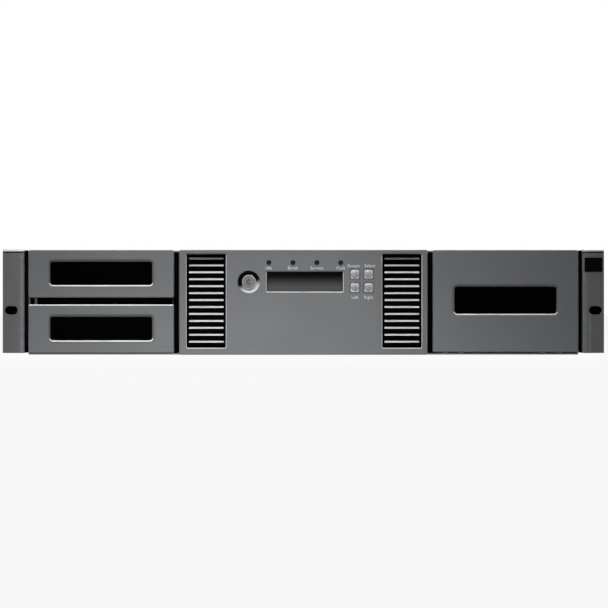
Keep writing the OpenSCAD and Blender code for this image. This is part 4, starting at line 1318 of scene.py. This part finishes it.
# %% [markdown]
# ## Fan guard
# A wire guard covers the power supply's fan: three rings, each a torus, on four spokes of the
# same wire, with a small screw eye at the end of each spoke.

# %% Rings and spokes
FAN_X, FAN_Z, WIRE_R = mm(190, 21.75, 0.55)
GUARD_Y = THUMB_Y * MM + WIRE_R
RINGS = mm(5.5, 10.5, 15.5)
SPOKE_L, SPOKE_AT, EYE_AT, EYE_R = mm(13, 11, 18.6, 1.9)


def guard_ring(radius):
    """One round wire in front of the fan."""
    object_mode()
    bpy.ops.mesh.primitive_torus_add(
        location=(FAN_X, GUARD_Y + WIRE_R, FAN_Z),
        rotation=TURN["y"],
        major_radius=radius,
        minor_radius=WIRE_R,
        major_segments=64,
        minor_segments=10,
    )
    return settle("ring")


def guard_arm(angle):
    """A spoke with the eye at its end, turned about the fan's axis."""
    eye = add_rod("eye", (FAN_X + EYE_AT, GUARD_Y, FAN_Z), EYE_R, 2 * WIRE_R, sides=24)
    spoke = add_rod("spoke", (FAN_X + SPOKE_AT, GUARD_Y, FAN_Z), WIRE_R, SPOKE_L, "x", 10)
    return turn_all(join("arm", [eye, spoke]), angle, "Y", (FAN_X, 0, FAN_Z))


wires = [guard_ring(radius) for radius in RINGS]
wires += [guard_arm((0.5 + i) * QUARTER) for i in range(4)]
dress(polish(join("fan_guard", wires)), "chassis", "connector_shell")

# %% [markdown]
# ## Contacts in the sockets
# Sockets are told apart by what is in them. The network socket has eight sprung contacts, the
# USB socket a tongue, the serial socket an insulator with nine pins, and each drive's host
# connector a tongue with a row of contacts. All are rows of small blocks and rods.

# %% Tongues, pins and contacts
NETWORK_PITCH, SERIAL_PITCH, DRIVE_PITCH = 1.22, 2.76, 1.3
SERIAL_X, SERIAL_Y = -134, 373.4
DRIVE_FLOORS = (3, 42.7)

tongues = [
    add_block("tongue", mm(-167.5, 363, 14), mm(-158.5, 374, 15.6)),
    add_round_block("insulator", mm(-142.5, 368.6, 13.4), mm(-125.5, 372.6, 19.4), MM),
    add_block("floor", mm(-197.6, 363.6, 12.8), mm(-186.4, 364.4, 22.4)),
]
contacts = []
for x in (-196.6 + NETWORK_PITCH * i for i in range(8)):
    contacts.append(add_block("contact", mm(x, 364.6, 19.4), mm(x + 0.5, 373, 19.9)))
for z, count in ((17.8, 5), (15.0, 4)):
    for i in range(count):
        x = SERIAL_X + SERIAL_PITCH * (i - (count - 1) / 2)
        contacts.append(add_rod("pin", mm(x, SERIAL_Y, z), 0.45 * MM, 2.4 * MM, sides=12))
for z in DRIVE_FLOORS:
    tongues.append(add_block("tongue", mm(51, 366, z + 9), mm(69, 375.5, z + 11)))
    for x in (52 + DRIVE_PITCH * i for i in range(13)):
        contacts.append(add_block("contact", mm(x, 368, z + 11.02), mm(x + 0.7, 375.2, z + 11.12)))
dress(polish(join("socket_tongues", tongues)), "chassis", "black_plastic")
dress(polish(join("socket_contacts", contacts)), "chassis", "gold")

# %% [markdown]
# ## Softened edges
# Sheet metal and mouldings never have perfectly sharp edges. The remaining solid pieces are
# copied, their doubled corners are merged, and every sharp edge gets a small rounding with a
# Bevel modifier, which is applied. Each copy then stands for its solid piece.

# %% Widths of the roundings, in millimetres
SOFT_EDGES = {
    "top_cover": 0.35, "left_side_panel": 0.35, "right_side_panel": 0.35, "rear_panel": 0.3,
    "drive_sleds": 0.3, "power_supply": 0.3, "controller_card": 0.25, "controller_ports": 0.2,
    "power_inlet": 0.4, "tape_drives": 0.4, "left_magazine_base": 0.4, "right_magazine_base": 0.4,
    "left_magazine_shell": 0.4, "right_magazine_shell": 0.4, "mail_slot_tray": 0.3,
    "left_magazine_shelves": 0.25, "right_magazine_shelves": 0.25, "left_magazine_dividers": 0.3,
    "right_magazine_dividers": 0.3, "lift_platform": 0.2, "robot_carriage": 0.2, "picker_tray": 0.3,
    "gripper": 0.3, "badge_plate": 0.12, "front_bulkhead": 0.2, "base_pan": 0.25,
}
SHARP_FROM = math.radians(40)
FLAT_UP_TO = math.radians(1)
slots = {part["node"]: part["material_slot"] for part in frame["record"]["subparts"]}


# %% Copies with rounded edges
def soften(name, width):
    """A copy of a solid piece with its sharp edges rounded, which stands for it."""
    node = frame["nodes"][name]
    object_mode()
    copy = bpy.data.objects.new(name + "_softened", node.data.copy())
    bpy.context.collection.objects.link(copy)
    pick(copy, "FACE", everything)
    bpy.ops.mesh.remove_doubles(threshold=0.001 * MM)
    bpy.ops.mesh.dissolve_limited(angle_limit=FLAT_UP_TO)
    object_mode(copy)
    step = copy.modifiers.new("round", "BEVEL")
    step.width = width * MM
    step.segments = 2
    step.limit_method = "ANGLE"
    step.angle_limit = SHARP_FROM
    bpy.ops.object.modifier_apply(modifier=step.name)
    return stand_in(copy, body_of(node)[0], slots[name], name)


CARD_PLATE_Y = 372.5 * MM
soft = {name: soften(name, width) for name, width in SOFT_EDGES.items()}
paint_inside(soft["controller_card"], "sled_steel", lambda c: c.y > CARD_PLATE_Y)

# %% [markdown]
# ## Finishes for the solid pieces
# The pieces that keep their solid shape take the finish of their slot in the record.

# %% Finishing the solid pieces
for name, slot in slots.items():
    node = frame["nodes"][name]
    node.data.materials.clear()
    node.data.materials.append(FINISH[slot])
print("finished", len(slots), "solid pieces")

# %% [markdown]
# ## Floor, light and camera
# The machine stands on a plain white floor. A softbox high in front, a little to the left, gives
# the bright lines on every edge that looks up; its light is kept narrow, so that it fades toward
# the ears. Two low and soft spots light the fronts from below, so they are lighter at the bottom
# than at the top. Three weaker softboxes take care of the sides and the rear, and the world adds
# an even, weak light. The camera looks straight at the front through a long lens, from the middle
# of its height.

# %% Floor and world
WHITE = (1, 1, 1, 1)
FLOOR_TONES = (0.45, 0.45, 0.45, 1), (0.47, 0.47, 0.47, 1)
FLOOR_GLOW, WORLD_LIGHT = 0.93, 0.02


def seen_directly(tree):
    """One for rays from the camera, in reflections and through glass, and zero for other light."""
    rays = add_node(tree, "LightPath").outputs
    mirror = calc(tree, "MAXIMUM", rays["Is Glossy Ray"], rays["Is Transmission Ray"])
    return calc(tree, "MAXIMUM", rays["Is Camera Ray"], mirror)


def mix_shaders(tree, share, first, second):
    """The first shader where the share is zero, the second where it is one."""
    sockets = {0: share, 1: first.outputs[0], 2: second.outputs[0]}
    return add_node(tree, "MixShader", sockets)


def build_floor():
    """A matt white floor that looks nearly as bright as the world behind it."""
    object_mode()
    bpy.ops.mesh.primitive_plane_add(size=30, location=(0, 0, 0))
    floor = settle("floor")
    tree = new_finish("floor")
    tone = blend(tree, noise(tree, object_place(tree), 3.0, 2.0), *FLOOR_TONES)
    matt = add_node(tree, "BsdfDiffuse", {"Color": tone})
    glow = add_node(tree, "Emission", {"Color": WHITE, "Strength": 1.0})
    white = mix_shaders(tree, FLOOR_GLOW, matt, glow)
    shown = mix_shaders(tree, seen_directly(tree), matt, white)
    add_node(tree, "OutputMaterial", {"Surface": shown.outputs[0]})
    floor.data.materials.append(FINISH["floor"])


def build_world():
    """White where it is seen, and a weak light everywhere else."""
    world = bpy.data.worlds.new("studio")
    world.use_nodes = True
    bpy.context.scene.world = world
    tree = world.node_tree
    tree.nodes.clear()
    weak, white = (
        add_node(tree, "Background", {"Color": WHITE, "Strength": strength})
        for strength in (WORLD_LIGHT, 1.0)
    )
    shown = mix_shaders(tree, seen_directly(tree), weak, white)
    add_node(tree, "OutputWorld", {"Surface": shown.outputs[0]})


build_floor()
build_world()
print("floor and world in place")


# %% Lamps
def add_lamp(kind, name, place, aim, watts, **settings):
    """A lamp that looks from its place to the aim."""
    object_mode()
    bpy.ops.object.light_add(type=kind, location=place)
    lamp = bpy.context.object
    lamp.name = name
    lamp.data.energy = watts
    for key, value in settings.items():
        setattr(lamp.data, key, value)
    lamp.rotation_euler = (Vector(aim) - Vector(place)).to_track_quat("-Z", "Y").to_euler()
    lamp.visible_camera = False
    print(name, watts, "W")


def softbox(name, place, aim, size, watts, spread=180):
    """A rectangular lamp whose light leaves within an angle."""
    width, depth = size
    spread = math.radians(spread)
    settings = {"shape": "RECTANGLE", "size": width, "size_y": depth, "spread": spread}
    add_lamp("AREA", name, place, aim, watts, **settings)


def low_spot(name, place, aim, watts):
    """A soft spot lamp whose light fades evenly from its axis to the rim of its cone."""
    settings = {"spot_size": math.radians(15), "spot_blend": 1.0, "shadow_soft_size": 0.12}
    add_lamp("SPOT", name, place, aim, watts, **settings)


softbox("overhead_softbox", (-0.2, -0.9, 1.2), (-0.06, -0.42, 0.04), (0.6, 0.4), 1.05, spread=40)
low_spot("low_left_spot", (-0.1, -2.2, 0.03), (-0.15, -0.376, -0.12), 28.0)
low_spot("low_centre_spot", (0.0, -2.2, 0.03), (-0.01, -0.376, -0.10), 42.0)
softbox("rear_softbox", (0.6, 1.6, 1.3), (0.0, 0.2, 0.04), (1.2, 0.8), 12.0)
softbox("right_softbox", (1.7, 0.0, 0.9), (0.2, 0.1, 0.04), (1.0, 0.7), 4.0)
softbox("left_softbox", (-1.7, 0.2, 0.9), (-0.2, 0.1, 0.04), (1.0, 0.7), 4.0)

# %% Camera
VIEW_W = 483.7 * MM
CAMERA_X, CAMERA_Z = mm(0.5, 40.4)
CAMERA_AWAY = 4.0
SENSOR_W = 36

object_mode()
camera_place = (CAMERA_X, front_y - CAMERA_AWAY, CAMERA_Z)
bpy.ops.object.camera_add(location=camera_place, rotation=TURN["y"])
camera = bpy.context.object
camera.data.sensor_width = SENSOR_W
camera.data.lens = SENSOR_W * CAMERA_AWAY / VIEW_W
camera.data.clip_start = 0.1
bpy.context.scene.camera = camera
bpy.context.scene.view_settings.view_transform = "Standard"
print("lens", round(camera.data.lens, 1), "mm")

# %% [markdown]
# ## The end
# At the end edit mode is left and no object stays selected.

# %% Clearing the selection
object_mode()
